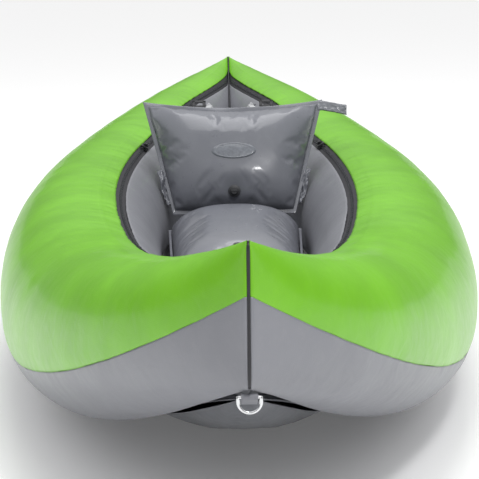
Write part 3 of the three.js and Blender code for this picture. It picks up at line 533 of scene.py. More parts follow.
def swept(name, path, radius, material, sides=12, closed=False, cap=True):
    """A round bar along a path of points in metres, its section kept from twisting."""
    path = np.asarray(path, float)
    count = len(path)
    tangent = np.roll(path, -1, 0) - np.roll(path, 1, 0)
    if not closed:
        tangent[0], tangent[-1] = path[1] - path[0], path[-1] - path[-2]
    tangent /= np.linalg.norm(tangent, axis=1, keepdims=True)
    first = np.cross(tangent[0], [1.0, 0.03, 0.05])
    first /= np.linalg.norm(first)
    normals = [first]
    for k in range(1, count):
        step = normals[-1] - tangent[k] * (normals[-1] @ tangent[k])
        normals.append(step / np.linalg.norm(step))
    normals = np.array(normals)
    side_way = np.cross(tangent, normals)
    turn = np.linspace(0, 2 * np.pi, sides, endpoint=False)
    radii = np.broadcast_to(np.asarray(radius, float), (count,))[:, None, None]
    outwards = np.cos(turn)[None, :, None] * normals[:, None] + np.sin(turn)[None, :, None] * side_way[:, None]
    rings = path[:, None] + radii * outwards
    points, faces = rings.reshape(-1, 3), grid_faces(count, sides, wrap=True)
    if closed:
        last = (count - 1) * sides
        faces += [[last + k, last + (k + 1) % sides, (k + 1) % sides, k] for k in range(sides)]
    elif cap:
        faces += [list(range(sides))[::-1], list(range((count - 1) * sides, count * sides))]
    made = mesh_object(name, points, faces, material)
    made.data.set_sharp_from_angle(angle=math.radians(50))
    return made


def middle_outline(end, count=90):
    """Where the tube's top and bottom cross the middle plane, from the fork to the end: y, top z and bottom z."""
    t = np.linspace(0.5, 1, 4000) * end
    apart = ARC_RADIUS - ARC_CENTRE / np.cos(t * ARC_HALF)
    half_width, half_height, centre = tube_size(t)
    share = apart / half_width
    touching = np.nonzero(share <= 1)[0][0]
    t, share = t[touching:], np.clip(share[touching:], 0, 1)
    half_height, centre = half_height[touching:], centre[touching:]
    rise = np.sqrt(1 - share ** 2)
    y = ARC_CENTRE * np.tan(t * ARC_HALF)
    run = np.r_[0, np.cumsum(np.hypot(np.diff(y), np.diff(centre + half_height * rise)))]
    even = np.interp(np.linspace(0, run[-1], count), run, np.arange(len(t)))
    pick = lambda values: np.interp(even, np.arange(len(t)), values)
    return pick(y), pick(centre + half_height * rise), pick(centre - half_height * rise)


for name, end in (("bow_welt", -1), ("stern_welt", 1)):
    y, top, bottom = middle_outline(end)
    down = np.linspace(0, 1, 40)[1:-1]
    loop = np.concatenate([
        np.stack([0 * y, y, top], -1),
        np.stack([0 * down, np.full_like(down, y[-1]), top[-1] + (bottom[-1] - top[-1]) * down], -1),
        np.stack([0 * y, y, bottom], -1)[::-1]])
    middle = np.array([0, y.mean() * 0.9, (top[-1] + bottom[-1]) / 2])
    ahead = np.roll(loop, -1, 0) - np.roll(loop, 1, 0)
    ahead[0], ahead[-1] = loop[1] - loop[0], loop[-1] - loop[-2]
    out = np.stack([0 * ahead[:, 0], ahead[:, 2], -ahead[:, 1]], -1) * end
    out /= np.linalg.norm(out, axis=1, keepdims=True)
    out *= -np.sign((out * (middle - loop)).sum(1, keepdims=True).mean())
    sweep = loop + out
    for _ in range(6):
        sweep[1:-1] = (sweep[:-2] + 2 * sweep[1:-1] + sweep[2:]) / 4
    bead = swept(f"{name}_bead", sweep / 1000, WELT_BEAD / 1000, WELT_PVC)
    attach(bead, "hull")
    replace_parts(bead, name)
    share = np.linspace(0, 1, 12)
    fin_height = top[:, None] + (bottom - top)[:, None] * share
    fin = np.stack([0 * fin_height, y[:, None] + 0 * fin_height, fin_height], -1)
    sheet = cloth_sheet(f"{name}_fin", fin / 1000, WELT_PVC, 2 * WELT_FIN / 1000)
    sheet.modifiers["thickness"].offset = 0
    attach(sheet, "hull")
    print(name, "runs from y =", round(y[0]), "to", round(y[-1]), "mm")

# %% [markdown]
# ## The floor
# A third air cell lies between the tubes, laced in from below, and hangs a little lower than they do. Its
# nose and tail are rounded. Welded webs hold it flat, as in an air mattress, and part it into five
# chambers, which gives long shallow grooves. Both faces are grids over the same outline, and share an edge.

# %% Floor covers
FLOOR_REACH, FLOOR_ROUND, FLOOR_EDGE_ANGLE, FLOOR_CLEARANCE = 0.84, 0.86, 300.0, 10.0
FLOOR_EDGE, FLOOR_CROWN, FLOOR_FLAT = 6.0, 0.33, 0.3
CHAMBERS, GROOVE_DEPTH = 5, 5.0


def floor_points(v, q, side, offset=0.0):
    """Points on the floor in mm. v runs from -1 at the nose to 1, q from -1 to 1 across, side is 1 on top."""
    t = v * FLOOR_REACH
    edge = tube_points(t, FLOOR_EDGE_ANGLE, FLOOR_CLEARANCE)
    half_width, half_height, centre = tube_size(t)
    beyond = np.clip((np.abs(v) - FLOOR_ROUND) / (1 - FLOOR_ROUND), 0, 1)
    shrink = np.maximum(0.12, np.sqrt(1 - beyond ** 2))
    depth = edge[..., 2] - (centre - half_height - DRAUGHT) - FLOOR_EDGE
    past = np.clip((np.abs(q) - FLOOR_FLAT) / (1 - FLOOR_FLAT), 0, 1)
    if side > 0:
        swell = FLOOR_CROWN * edge[..., 0] * (1 - q * q)
    else:
        swell = depth * (1 - past ** 2)
    height = (FLOOR_EDGE + swell) * shrink + offset
    x = q * (edge[..., 0] * shrink + offset)
    return np.stack([x, edge[..., 1], edge[..., 2] + side * np.maximum(0.4, height)], -1)


FLOOR_ROWS, FLOOR_COLUMNS = ((300, 90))
lengthwise = np.sin(np.linspace(-1, 1, FLOOR_ROWS) * np.pi / 2)[:, None] * np.ones((1, FLOOR_COLUMNS))
crosswise = np.sin(np.linspace(-1, 1, FLOOR_COLUMNS) * np.pi / 2)[None, :] * np.ones((FLOOR_ROWS, 1))
for name, side in (("floor_top_panel", 1), ("floor_bottom_panel", -1)):
    folds = 2.4 * (noise(crosswise * 3 + 9, lengthwise * 14, 1) - 0.5)
    folds += 1.2 * (noise(crosswise * 9, lengthwise * 30, 2) - 0.5)
    near_end = np.exp(-(1 - np.abs(lengthwise)) / 0.05)
    gathers = 2.0 * near_end * (noise(crosswise * 16, lengthwise * 6, 3) - 0.5)
    web = np.abs(np.cos(crosswise * np.pi * CHAMBERS / 2))
    groove = -GROOVE_DEPTH * np.exp(-(web / 0.22) ** 2) if side > 0 else 0.0
    fade = np.clip((1 - np.maximum(np.abs(crosswise), np.abs(lengthwise))) * 18, 0, 1)
    lift = (folds + gathers - 2.2) * fade + groove * fade
    if side < 0:
        off_ground = np.clip((np.abs(lengthwise) - 0.35) * 6, 0, 1)
        lift = np.minimum(lift, 0) * np.clip((np.abs(crosswise) - 0.25) * 4 + off_ground, 0, 1)
    grid = floor_points(lengthwise, crosswise, side, lift) / 1000
    # Both floor faces take the darker grey, which is painted shade.
    piece = cloth_sheet(f"{name}_cover", grid, FLOOR_TARPAULIN_PAINTED_SHADE, 0.0014, flip=side < 0)
    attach(piece, "hull")
    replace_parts(piece, name, *(["floor_air_cell"] if side > 0 else []))
print("floor lies at", round(float(grid[..., 2].min()) * 1000, 2), "mm")

# %% [markdown]
# ## The inflated seat
# The seat base and the backrest are pillows: two sheets of vinyl welded together round their rim and blown
# up. The fullness of such a pillow is cut off sharply at the weld, and the spare length of the sheets goes
# into short creases that run in from it. That is what a cloth simulation gives: the rim is pinned, the
# cloth is given air pressure and a little more length than it needs, and Blender folds it. Points near a
# valve are held back, so that it still sits on the surface. A strip along the rim is then added as the
# welded edge.

# %% Pillow shapes
SEAT = {"width": 280.0, "front": 246.0, "length": 540.0, "rear": 155.0, "height": 136.0, "powers": (3.0, 6.0)}
BACK = {"bottom": 262.0, "top": 392.0, "height": 264.0, "thick": 100.0, "foot": 14.0, "dip": 17.0,
        "powers": (4.0, 4.0)}
BACK_FOOT, LEAN = np.array([0.0, 218.0, 192.0]), math.radians(31)
BACK_UP = np.array([0, math.sin(LEAN), math.cos(LEAN)])
BACK_OUT = np.array([0, -math.cos(LEAN), math.sin(LEAN)])
SEAT_RIM, BACK_RIM = 4.0, 8.0
seat_low, seat_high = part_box("seat_base")
SEAT_MIDDLE = (seat_low.z + seat_high.z) / 2 * 1000


def swell(u, v, powers):
    return np.sqrt(np.clip(1 - np.abs(u) ** powers[0], 0, 1) * np.clip(1 - np.abs(v) ** powers[1], 0, 1))


def seat_place(u, v, out):
    half = (SEAT["front"] + (SEAT["width"] - SEAT["front"]) * (v + 1) / 2) / 2
    y = SEAT["rear"] - SEAT["length"] / 2 + v * SEAT["length"] / 2
    return np.stack([u * half, y + 0 * u, SEAT_MIDDLE + out + 0 * u], -1)


def back_frame(x, up_by, out):
    return BACK_FOOT + np.stack([x, 0 * x, 0 * x], -1) + up_by[..., None] * BACK_UP + out[..., None] * BACK_OUT


def back_place(u, v, out):
    share = (v + 1) / 2
    half = (BACK["bottom"] + (BACK["top"] - BACK["bottom"]) * share) / 2
    up_by = BACK["foot"] + share * BACK["height"] - BACK["dip"] * (1 - u * u) * share
    return back_frame(u * half, up_by, out + 0 * u)


def pillow(name, place, half_thick, rim_width, powers, size, held, puckered, cap=9.0):
    """Two sheets over one outline, blown up and creased. size is (across, along), in mm, and held lists the
    calm spots, each a place and a radius in mm."""
    spacing = 5.0
    columns, rows = int(size[0] / spacing) | 1, int(size[1] / spacing) | 1
    inset = np.array([1 - 2 * rim_width / size[0], 1 - 2 * rim_width / size[1]])
    u, v = np.meshgrid(np.linspace(-1, 1, columns) * inset[0], np.linspace(-1, 1, rows) * inset[1])
    ur, vr = u / inset[0], v / inset[1]
    full = swell(ur, vr, powers)
    front = place(u, v, 1.2 + (half_thick - 4) * full)
    back = place(u, v, -1.2 - (half_thick - 4) * full)
    rim = np.zeros(u.shape, bool)
    rim[[0, -1]] = rim[:, [0, -1]] = True
    front[rim] = back[rim] = place(u, v, 0 * u)[rim]
    index = np.arange(u.size).reshape(u.shape)
    other = index.copy()
    inner = ~rim
    other[inner] = u.size + np.arange(inner.sum())
    points = np.concatenate([front.reshape(-1, 3), back[inner]])
    quads = lambda grid: np.stack(
        [grid[:-1, :-1], grid[:-1, 1:], grid[1:, 1:], grid[1:, :-1]], -1).reshape(-1, 4)
    faces = quads(index).tolist() + quads(other)[:, ::-1].tolist()
    flat = np.stack([u * size[0] / 2000, v * size[1] / 2000], -1)
    uvs = np.concatenate([flat.reshape(-1, 2), flat[inner]])
    piece = mesh_object(name, points / 1000, faces, SEAT_VINYL, uvs)
    calm = np.zeros(len(points))
    for spot, radius in held:
        away = np.linalg.norm(points - spot, axis=1)
        calm = np.maximum(calm, np.exp(-(away / radius) ** 2))
    start = points / 1000
    pinned = piece.vertex_groups.new(name="weld")
    for k in range(len(points)):
        if k < rim.size and rim.ravel()[k]:
            pinned.add([k], 1.0, "REPLACE")
    cloth = piece.modifiers.new("air", "CLOTH")
    cloth.settings.quality = 6
    cloth.settings.mass = 0.25
    cloth.settings.tension_stiffness = cloth.settings.compression_stiffness = 22
    cloth.settings.shear_stiffness = 8
    cloth.settings.bending_stiffness = 0.35
    cloth.settings.air_damping = 2.0
    cloth.settings.use_pressure = True
    cloth.settings.uniform_pressure_force = 4.0
    cloth.settings.shrink_min = -puckered
    cloth.settings.effector_weights.gravity = 0
    cloth.settings.vertex_group_mass = "weld"
    scene.frame_start, scene.frame_end = 1, 20
    for number in range(1, 21):
        scene.frame_set(number)
    depsgraph = bpy.context.evaluated_depsgraph_get()
    settled = np.array([p.co for p in piece.evaluated_get(depsgraph).data.vertices])
    piece.modifiers.clear()
    scene.frame_set(1)
    move = settled - start
    reach = np.linalg.norm(move, axis=1, keepdims=True)
    move *= np.minimum(1, cap / 1000 / np.maximum(reach, 1e-9))
    start = start + move * (1 - 0.95 * calm[:, None])
    print(name, "moved by up to", round(float(reach.max()) * 1000, 1), "mm, kept within", cap)
    piece.data.vertices.foreach_set("co", start.astype(np.float32).ravel())
    piece.data.update()
    smooth = piece.modifiers.new("smooth", "SUBSURF")
    smooth.levels = smooth.render_levels = 1
    loop = np.concatenate([index[0, :-1], index[:-1, -1], index[-1, :0:-1], index[:0:-1, 0]])
    return piece, (u.ravel()[loop], v.ravel()[loop])


def weld_strip(name, params, place, rim_width, size, body):
    """The flat welded edge: a ribbon from the pillow's rim outwards, a little wavy."""
    u, v = params
    outer_u, outer_v = (np.clip(share / (1 - 2 * rim_width / length), -1, 1)
                        for share, length in zip(params, size))
    steps = np.array([-0.35, 0.0, 0.3, 0.62, 1.0])
    wave = 2.4 * (noise(np.arange(len(u)) / 7.0, np.full(len(u), 3.3), 5) - 0.5)
    rows = []
    for k, step in enumerate(steps):
        at_u, at_v = u + (outer_u - u) * step, v + (outer_v - v) * step
        out = wave * max(step, 0) ** 1.3
        rows.append(place(at_u, at_v, out))
    grid = np.stack(rows, 1)
    grid = np.concatenate([grid, grid[:1]]) / 1000
    strip = cloth_sheet(name, grid, SEAT_VINYL, 0.0022)
    strip.modifiers["thickness"].offset = 0
    bevel = strip.modifiers.new("pressed_edge", "BEVEL")
    bevel.width, bevel.segments = 0.0006, 2
    bevel.limit_method = "ANGLE"
    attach(strip, body)
    return strip


# %% Blow up the seat base and the backrest
centre_of = lambda node: np.array((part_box(node)[0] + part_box(node)[1]) / 2) * 1000
valve_spot, stem_spot = centre_of("backrest_valve"), centre_of("seat_base_valve")
badge_spot = centre_of("backrest_badge")
seat_piece, seat_params = pillow(
    "seat_base_pillow", seat_place, SEAT["height"] / 2, SEAT_RIM, SEAT["powers"],
    (SEAT["width"], SEAT["length"]), [(stem_spot, 24.0)], 0.016)
back_piece, back_params = pillow(
    "backrest_pillow", back_place, BACK["thick"] / 2, BACK_RIM, BACK["powers"],
    (BACK["top"], BACK["height"]), [(valve_spot, 24.0)], 0.02, cap=12.0)
for piece, body, node_name in ((seat_piece, "hull", "seat_base"), (back_piece, "backrest", "backrest")):
    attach(piece, body)
    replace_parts(piece, node_name)
weld_strip("seat_base_weld", seat_params, seat_place, SEAT_RIM, (SEAT["width"], SEAT["length"]), "hull")
weld_strip("backrest_weld", back_params, back_place, BACK_RIM, (BACK["top"], BACK["height"]), "backrest")

# %% [markdown]
# ## Turned and moulded parts
# The air valves are lathe shapes: a flange welded to the cloth, a ringed collar, a spring button and a dust
# cap with finger ribs. Each is a profile turned about its axis and put where the mechanical model has it.

# %% Lathe helper
def matrix_from(x_axis, y_axis, z_axis, place):
    out = np.eye(4)
    out[:3, 0], out[:3, 1], out[:3, 2], out[:3, 3] = x_axis, y_axis, z_axis, place
    return out


def frame_about(z_axis, place, near=(1.0, 0.0, 0.0)):
    z_axis = np.array(z_axis, float) / np.linalg.norm(z_axis)
    x_axis = np.array(near, float) - z_axis * np.dot(near, z_axis)
    x_axis /= np.linalg.norm(x_axis)
    return matrix_from(x_axis, np.cross(z_axis, x_axis), z_axis, place)


def moved(points, matrix):
    return points @ matrix[:3, :3].T + matrix[:3, 3]


def turned(profile, matrix, steps=64, ribs=0, rib_depth=0.0, rib_rows=()):
    """A profile of (radius, height) in mm turned about Z, with finger ribs on the given rows.
    Gives points and faces."""
    profile = np.array(profile, float)
    turn = np.linspace(0, 2 * np.pi, steps, endpoint=False)
    radius = np.repeat(profile[:, :1], steps, 1)
    for row in rib_rows:
        radius[row] += rib_depth * (np.cos(turn * ribs) > 0)
    points = np.stack([radius * np.cos(turn), radius * np.sin(turn), np.repeat(profile[:, 1:], steps, 1)], -1)
    faces = grid_faces(len(profile), steps, wrap=True)
    return moved(points.reshape(-1, 3), matrix), faces


def joined(name, parts, material, bevel=0.0):
    """Several shells of points and faces, in mm, as one object."""
    points, faces, base = [], [], 0
    for part_points, part_faces in parts:
        points.append(part_points / 1000)
        faces += [[index + base for index in face] for face in part_faces]
        base += len(part_points)
    made = mesh_object(name, np.concatenate(points), faces, material, sharp=35)
    if bevel:
        softened = made.modifiers.new("moulded_edges", "BEVEL")
        softened.width, softened.segments = bevel / 1000, 2
        softened.limit_method, softened.angle_limit = "ANGLE", math.radians(35)
    return made


def block(low, high, matrix):
    corners = [(x, y, z) for z in (low[2], high[2]) for y in (low[1], high[1]) for x in (low[0], high[0])]
    return moved(np.array(corners, float), matrix), BLOCK_FACES


def blocks(boxes_mm, matrix):
    """Several blocks, each given by its two far corners."""
    return [block(low, high, matrix) for low, high in boxes_mm]


# %% Air valves
def side_place(z_axis, place, side):
    flip = np.array([1.0 if side == "port" else -1.0, 1, 1])
    return frame_about(np.array(z_axis) * flip, np.array(place) * 1000 * flip, near=(0.0, 1.0, 0.0))


SIDE_VALVE = ((-0.90504, -0.12436, 0.40674), (0.127242, 0.540974, 0.239256))
VALVE_PLACES = {
    "valve_{}_port": side_place(*SIDE_VALVE, "port"),
    "valve_{}_starboard": side_place(*SIDE_VALVE, "starboard"),
    "floor_valve_{}": frame_about((0, -0.02317, 0.99973), (0, 650, 107.046), near=(0.0, 1.0, 0.0)),
}
for pattern, place in VALVE_PLACES.items():
    thread = [(21 + 0.7 * (k % 2), 3.4 + 0.7 * k) for k in range(8)]
    barrel_and_flange = [(14, -26), (18.5, -26), (18.5, 0.4), (29.4, 0.4),
                         (30, 0.9), (30, 2.0), (29.2, 2.6), (22, 2.8)]
    body = turned(barrel_and_flange + thread + [(20.4, 9), (14.6, 9), (14, 8.4), (14, -26)], place)
    spokes = blocks([((-15, -1.5, -19.5), (15, 1.5, -16.5)), ((-1.5, -15, -19.5), (1.5, 15, -16.5))], place)
    button = turned([(0.01, -29), (16, -29), (16, -26.4), (3, -26.4), (3, -2),
                     (8.6, -2), (9, -1.5), (9, 2.4), (8.2, 3), (0.01, 3.3)], place, 48)
    cap = turned([(21.4, 3), (25.6, 3), (26, 3.6), (26, 12.4), (25.2, 14), (24, 15),
                  (8, 15.4), (0.01, 15.4), (0.01, 9.4), (21.4, 9.4), (21.4, 3)],
                 place, 96, ribs=24, rib_depth=-0.8, rib_rows=(2, 3))
    grip = block((-15, -2.5, 13.5), (15, 2.5, 18.5), place)
    kinds = (("body", [body, *spokes], 0.0), ("button", [button], 0.0), ("cap", [cap, grip], 0.8))
    for kind, parts, soft in kinds:
        node_name = pattern.format(kind)
        made = joined(f"{node_name}_moulding", parts, BLACK_ABS, soft)
        riding = "hull" if kind == "body" else node_name
        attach(made, riding)
        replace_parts(made, node_name)
print("air valves:", len(VALVE_PLACES))

# %% Twist valves on the seat
TWIST_PLACES = {
    "seat_base_valve": ((0, -0.24742, 0.96891), (0, -331.099, 243.47), "hull"),
    "backrest_valve": ((0, -0.96881, 0.24781), (0, 205.485, 257.196), "backrest"),
}
for name, (axis, place, body) in TWIST_PLACES.items():
    at = frame_about(axis, place)
    flange = turned([(5.4, 0), (12.4, 0), (13, 0.5), (13, 1.3), (12.2, 1.8), (9.4, 2.3),
                     (9, 2.8), (9, 6.4), (8.4, 7), (5.4, 7), (5.4, 0)], at, 48)
    low = 0.0 if body == "backrest" else -4.0
    stem = turned([(0.01, 0.6), (5, 0.6), (5, 7.4 + low), (7.6, 7.4 + low), (8, 7.9 + low),
                   (8, 10.2 + low), (7.2, 11 + low), (0.01, 11.2 + low)],
                  at, 72, ribs=18, rib_depth=-0.5, rib_rows=(4, 5))
    wing = block((-7, -1.6, 8.5 + low), (7, 1.6, 12.5 + low), at)
    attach(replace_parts(joined(f"{name}_flange", [flange], BLACK_ABS), name), body)
    twist = joined(f"{name}_stem_twist", [stem, wing], BLACK_ABS, 0.7)
    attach(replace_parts(twist, f"{name}_stem"), f"{name}_stem")

# %% [markdown]
# ## The badge
# A blank oval is welded on the front of the backrest. It is a thin domed film with a raised rim, and
# follows the pillow under it, so its points are dropped on to the pillow's surface.

# %% Oval badge
from mathutils.bvhtree import BVHTree
depsgraph = bpy.context.evaluated_depsgraph_get()
pillow_tree = BVHTree.FromObject(back_piece, depsgraph)
BADGE_HALF = np.array([48.0, 18.0])
badge_up = float((badge_spot - BACK_FOOT) @ BACK_UP)
rings, spokes = 14, 72
radius = np.linspace(0, 1, rings)[:, None]
turn = np.linspace(0, 2 * np.pi, spokes, endpoint=False)[None, :]
x, y = radius * np.cos(turn) * BADGE_HALF[0], radius * np.sin(turn) * BADGE_HALF[1]
dome = 1.2 + 1.3 * (1 - radius ** 2)
raised_rim = np.exp(-((radius - 0.93) / 0.035) ** 2) - 1.2 * np.clip((radius - 0.97) / 0.03, 0, 1)
lift = dome + raised_rim + 0 * turn
seen = back_frame(x, badge_up + y, 0 * x + 120.0) / 1000
points = np.empty(seen.shape)
for k in np.ndindex(x.shape):
    hit = pillow_tree.ray_cast(Vector(seen[k]), Vector(-BACK_OUT))[0]
    points[k] = np.array(hit) + BACK_OUT * lift[k] / 1000
badge_points = np.concatenate([points[:1, 0], points[1:].reshape(-1, 3)])
fan = [(0, 1 + k, 1 + (k + 1) % spokes) for k in range(spokes)]
bands = grid_faces(rings - 1, spokes, wrap=True)
badge_faces = fan + [tuple(index + 1 for index in reversed(face)) for face in bands]
badge = mesh_object("backrest_badge_oval", badge_points, badge_faces, BADGE)
facing = [polygon.normal.dot(Vector(BACK_OUT)) for polygon in badge.data.polygons]
print("badge faces that look outwards:", sum(dot > 0 for dot in facing), "of", len(facing))
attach(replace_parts(badge, "backrest_badge"), "backrest")

# %% [markdown]
# ## Webbing, tabs and flaps
# Straps are flat ribbons swept along a line. The pale stays tie the top of the backrest to the tubes behind
# it. The tab on its corner and the flaps at its sides are scraps of the seat's own vinyl, left over past
# the weld, which hang and crumple.

# %% Ribbon helper
def ribbon(name, path, across, width, material, thickness=1.6, columns=9, crumple=0.0, seed=0):
    """A strap in mm along path, its width laid along the direction across."""
    path, across = np.asarray(path, float), np.asarray(across, float)
    across = np.broadcast_to(across / np.linalg.norm(across, axis=-1, keepdims=True), path.shape)
    count = 40
    run = np.r_[0, np.cumsum(np.linalg.norm(np.diff(path, axis=0), axis=1))]
    even = np.linspace(0, run[-1], count)
    line = np.stack([np.interp(even, run, path[:, k]) for k in range(3)], -1)
    side = np.stack([np.interp(even, run, across[:, k]) for k in range(3)], -1)
    for _ in range(3):
        line[1:-1] = (line[:-2] + 2 * line[1:-1] + line[2:]) / 4
    ahead = np.gradient(line, axis=0)
    ahead /= np.linalg.norm(ahead, axis=1, keepdims=True)
    out = np.cross(ahead, side)
    share = np.linspace(-0.5, 0.5, columns)
    widths = np.broadcast_to(np.asarray(width, float), (2,))
    widths = np.linspace(widths[0], widths[1], count)[:, None, None]
    folds = crumple * (noise(even[:, None] / 9.0 + seed * 31, share[None] * 5 + 9, 6) - 0.5) * 2
    grid = line[:, None] + side[:, None] * share[None, :, None] * widths + out[:, None] * folds[..., None]
    made = cloth_sheet(name, grid / 1000, material, thickness / 1000)
    made.modifiers["thickness"].offset = 0
    return made


# %% Stays, tabs, anchors and buckles
X = np.array([1.0, 0, 0])
in_back = lambda x, up_by, out: BACK_FOOT + X * x + BACK_UP * up_by + BACK_OUT * out
ADJUSTER_UP, ADJUSTER_OUT, STAY_X, STAY_WIDTH = 284.0, -44.0, 74.0, 14.0
ANCHOR_Y, ANCHOR_ANGLE = 1150.0, 42.0
anchor_t = t_at(ANCHOR_Y)


def half_at(up_by):
    """Half the backrest's width, in mm, at a height above its foot."""
    return (BACK["bottom"] + (BACK["top"] - BACK["bottom"]) * (up_by - BACK["foot"]) / BACK["height"]) / 2


for side, sign in (("port", 1.0), ("starboard", -1.0)):
    flip = np.array([sign, 1, 1])
    anchor = tube_points(np.array(anchor_t), np.array(ANCHOR_ANGLE))
    anchor_out = tube_points(np.array(anchor_t), np.array(ANCHOR_ANGLE), 1.0) - anchor
    turn = anchor_t * ARC_HALF
    anchor_along = np.array([-math.sin(turn), math.cos(turn), 0])
    at_anchor = lambda a, o: (anchor + anchor_along * a + anchor_out * o) * flip
    head = in_back(sign * STAY_X, ADJUSTER_UP - 6, ADJUSTER_OUT - 22)
    foot = at_anchor(-34, 14)
    sag = np.linspace(0, 1, 24)[:, None]
    line = head + (foot - head) * sag - np.array([0, 0, 1.0]) * 5 * np.sin(np.pi * sag)
    line = np.concatenate([[in_back(sign * STAY_X, ADJUSTER_UP - 2, ADJUSTER_OUT - 4)], line])
    strap = ribbon(f"stay_{side}_strap", line, X, STAY_WIDTH, WEBBING)
    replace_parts(strap, f"stay_{side}")
    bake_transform(strap)
    tab_line = [in_back(sign * STAY_X, up_by, out)
                for up_by, out in ((205, -49), (240, -51), (262, -48), (280, -42))]
    tab = ribbon(f"stay_tab_{side}_strip", tab_line, X, STAY_WIDTH, WEBBING)
    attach(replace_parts(tab, f"stay_tab_{side}"), "backrest")
    loop_turn = np.linspace(-0.4, np.pi + 0.4, 16)
    loop = [at_anchor(-14 - 9 * math.sin(a), 6 + 4.5 * math.cos(a)) for a in loop_turn]
    loop = [at_anchor(12, 2.4), *loop, at_anchor(12, 1.6)]
    anchor_across = np.cross(anchor_along, anchor_out) * flip
    ring = ribbon(f"stay_anchor_{side}_loop", loop, anchor_across, 16, WEBBING, 1.2)
    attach(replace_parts(ring, f"stay_anchor_{side}"), "hull")
    patch_line = [at_anchor(a, 1.3) for a in (-20, -10, 0, 10, 20)]
    patch = ribbon(f"stay_anchor_{side}_patch", patch_line, anchor_across, 26, INNER_TARPAULIN, 1.4)
    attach(patch, "hull")
    frame_place = matrix_from(X, BACK_UP, BACK_OUT, in_back(sign * STAY_X, ADJUSTER_UP, ADJUSTER_OUT))
    bars = [((-15, low, -2), (15, high, 2)) for low, high in ((-14, -8.5), (-2.6, 2.6), (8.5, 14))]
    edges = [((low, -14, -2), (high, 14, 2)) for low, high in ((-15, -8.2), (8.2, 15))]
    buckle = joined(f"stay_adjuster_{side}_buckle", blocks(bars + edges, frame_place), BLACK_ABS, 0.9)
    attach(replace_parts(buckle, f"stay_adjuster_{side}"), f"stay_adjuster_{side}")

    flap_line = []
    for up_by in range(36, 116, 6):
        aside = half_at(up_by) + 3 + 2 * math.sin(up_by / 9)
        flap_line.append(in_back(sign * aside, up_by, 4 * math.sin(up_by / 13)))
    flap = ribbon(f"backrest_flap_{side}_scrap", flap_line, X * sign + BACK_OUT * 0.5, (14, 17), SEAT_VINYL,
                  1.2, 11, 4.5, seed=int(sign > 0))
    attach(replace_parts(flap, f"backrest_flap_{side}"), "backrest")

top_up = BACK["foot"] + BACK["height"]
corner = half_at(top_up)
tab_line = [in_back(corner + past, top_up - below, out)
            for past, below, out in ((-12, 15, 0), (4, 15, 1), (26, 20, 1), (52, 25, -1))]
corner_tab = ribbon("backrest_corner_tab_strip", tab_line, BACK_UP, (22, 22), SEAT_VINYL, 2.6, 9, 1.6, seed=5)
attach(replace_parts(corner_tab, "backrest_corner_tab"), "backrest")

# %% [markdown]
# ## Zip sliders and pulls
# A slider is a small die-cast shell with a bridge, and its pull hangs in that bridge by an eye. Both are
# rounded blocks, placed and joined as the mechanical model has them.

# %% Sliders and pulls
SLIDER_WAYS = ([-0.11668, 0.99317, 0], [-0.86011, -0.10105, -0.5], [-0.49658, -0.05834, 0.86603])
SLIDER_PLACE = [199.922, 471.074, 309.502]
SLIDER_BLOCKS = [
    ((-12, -8.5, 4.2), (12, 8.5, 8.6)), ((-12, -8.5, 1.6), (12, -5.8, 5)), ((-12, 5.8, 1.6), (12, 8.5, 5)),
    ((-6, -2.5, 8), (-4, 2.5, 14.4)), ((4, -2.5, 8), (6, 2.5, 14.4)), ((-6, -2.5, 12.6), (6, 2.5, 14.6))]
PULL_UP, PULL_HALF = 10.8, 1.2
PULL_LOW, PULL_HIGH = PULL_UP - PULL_HALF, PULL_UP + PULL_HALF
PULL_BLOCKS = [
    ((-1.2, -5.5, PULL_LOW), (1.2, 5.5, PULL_HIGH)), ((1, -5.5, PULL_LOW), (12, -3.1, PULL_HIGH)),
    ((1, 3.1, PULL_LOW), (12, 5.5, PULL_HIGH)), ((11, -5.5, PULL_LOW), (36, 5.5, PULL_HIGH))]
PULL_BLOCKS += [((a, -4, PULL_UP + 1.0), (a + 1.6, 4, PULL_UP + 1.7)) for a in (16, 20, 24, 28, 32)]
for side, sign in (("port", 1.0), ("starboard", -1.0)):
    flip = np.diag([sign, 1.0, 1.0])
    place = matrix_from(*(flip @ way for way in SLIDER_WAYS), flip @ SLIDER_PLACE)
    way = 1 if sign > 0 else -1  # a mirrored block is inside out until its faces are turned
    facing_out = lambda parts: [(points, [face[::way] for face in faces]) for points, faces in parts]
    slider = joined(f"zip_slider_{side}_shell", facing_out(blocks(SLIDER_BLOCKS, place)), BLACK_ABS, 0.8)
    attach(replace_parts(slider, f"zip_slider_{side}"), f"zip_slider_{side}")
    pull = joined(f"zip_pull_{side}_tab", facing_out(blocks(PULL_BLOCKS, place)), BLACK_ABS, 0.6)
    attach(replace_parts(pull, f"zip_pull_{side}"), f"zip_pull_{side}")

# %% [markdown]
# ## Lifting rings
# A bent wire D hangs at each end from a folded strap, which is welded under the hull on a round patch.

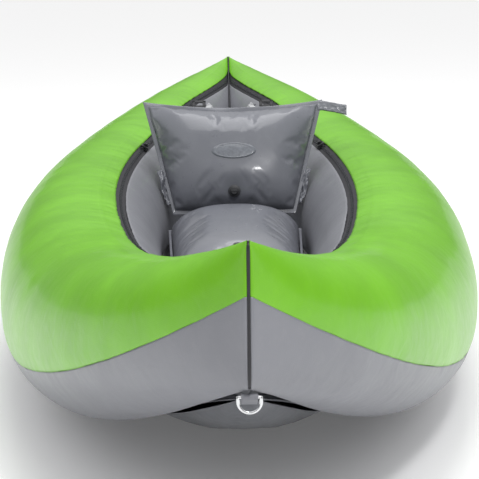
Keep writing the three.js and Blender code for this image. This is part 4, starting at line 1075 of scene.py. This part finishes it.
# %% Rings and their straps
RING_RADIUS, RING_LEG, WIRE = 15.0, 6.0, 2.4
for name, end, pivot in (("bow", -1, (0, -1544.0, 291.5)), ("stern", 1, (0, 1544.0, 191.4))):
    pivot = np.array(pivot)
    arc = np.linspace(0, np.pi, 33)
    d_line = [(-RING_RADIUS, 0, 0), (-RING_RADIUS, 0, -RING_LEG / 2)]
    d_line += [(-RING_RADIUS * math.cos(a), 0, -RING_LEG - RING_RADIUS * math.sin(a)) for a in arc]
    d_line += [(RING_RADIUS, 0, -RING_LEG / 2), (RING_RADIUS, 0, 0)]
    d_line += [(x, 0, 0) for x in np.linspace(RING_RADIUS - 2, -RING_RADIUS + 2, 13)]
    d_line = (np.array(d_line) + pivot) / 1000
    ring = swept(f"{name}_ring_wire", d_line, WIRE / 1000, STAINLESS, 16, closed=True)
    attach(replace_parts(ring, f"{name}_ring"), f"{name}_ring")
    around = np.linspace(-0.6, np.pi + 0.9, 18)
    wrap = [pivot + np.array([0, end * 4.2 * math.sin(a), 4.2 * math.cos(a)]) for a in around]
    upper, lower = ((56, -22.0), (30, -10.0), (12, 0.5)), ((12, -7.5), (32, -15.0), (58, -25.5))
    layers = [[pivot + np.array([0, -end * back, up_by]) for back, up_by in layer] for layer in (upper, lower)]
    fold = [*layers[0], *wrap, *layers[1]]
    strap = ribbon(f"{name}_ring_tab_strap", fold, X, 22, INNER_TARPAULIN, 1.5)
    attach(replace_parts(strap, f"{name}_ring_tab"), "hull")

# %% [markdown]
# ## Studio
# A pale floor and a surround that turns from grey to white give the covers something to mirror. A broad
# soft light hangs overhead, and a small one above and to the right of the bow brightens that side of it.

# %% Floor, surround and lights
bpy.ops.mesh.primitive_plane_add(size=40, location=(0, 0, cad_low.z - 0.0005))
ground = bpy.context.object
ground.name = "studio_floor"
ground_paint, ground_tree, ground_shader = new_material("white_studio_floor", "#F2F2F2", 0.9)
ground_shader.inputs["Emission Color"].default_value = linear("#FFFFFF")
ground_shader.inputs["Emission Strength"].default_value = 0.1
ground.data.materials.append(ground_paint)

world = bpy.data.worlds.new("studio")
world.use_nodes = True
sky_place = node(world.node_tree, "ShaderNodeTexCoord")
sky_height = node(world.node_tree, "ShaderNodeSeparateXYZ", {}, {"Vector": sky_place.outputs["Generated"]})
sky_tone = node(world.node_tree, "ShaderNodeValToRGB", {}, {"Fac": sky_height.outputs["Z"]})
sky_tone.color_ramp.elements[0].position, sky_tone.color_ramp.elements[1].position = 0.05, 0.8
sky_tone.color_ramp.elements[0].color = linear("#4A4B4D")
sky_tone.color_ramp.elements[1].color = linear("#FFFFFF")
world.node_tree.links.new(sky_tone.outputs["Color"], world.node_tree.nodes["Background"].inputs["Color"])
world.node_tree.nodes["Background"].inputs["Strength"].default_value = 1.15
scene.world = world


def area_light(name, place, target, size, power):
    lamp = bpy.data.objects.new(name, bpy.data.lights.new(name, "AREA"))
    lamp.data.shape = "RECTANGLE"
    lamp.data.size, lamp.data.size_y = size
    lamp.data.energy = power
    lamp.location = place
    lamp.rotation_mode = "QUATERNION"
    lamp.rotation_quaternion = (Vector(target) - Vector(place)).to_track_quat("-Z", "Y")
    scene.collection.objects.link(lamp)
    return lamp


area_light("overhead", (0.1, 0.4, 3.4), (0, 0, 0.2), (1.6, 3.6), 62)
area_light("key_right", (0.75, -2.5, 2.6), (0.12, -1.5, 0.45), (0.45, 0.3), 30)
scene.view_settings.view_transform = "Standard"
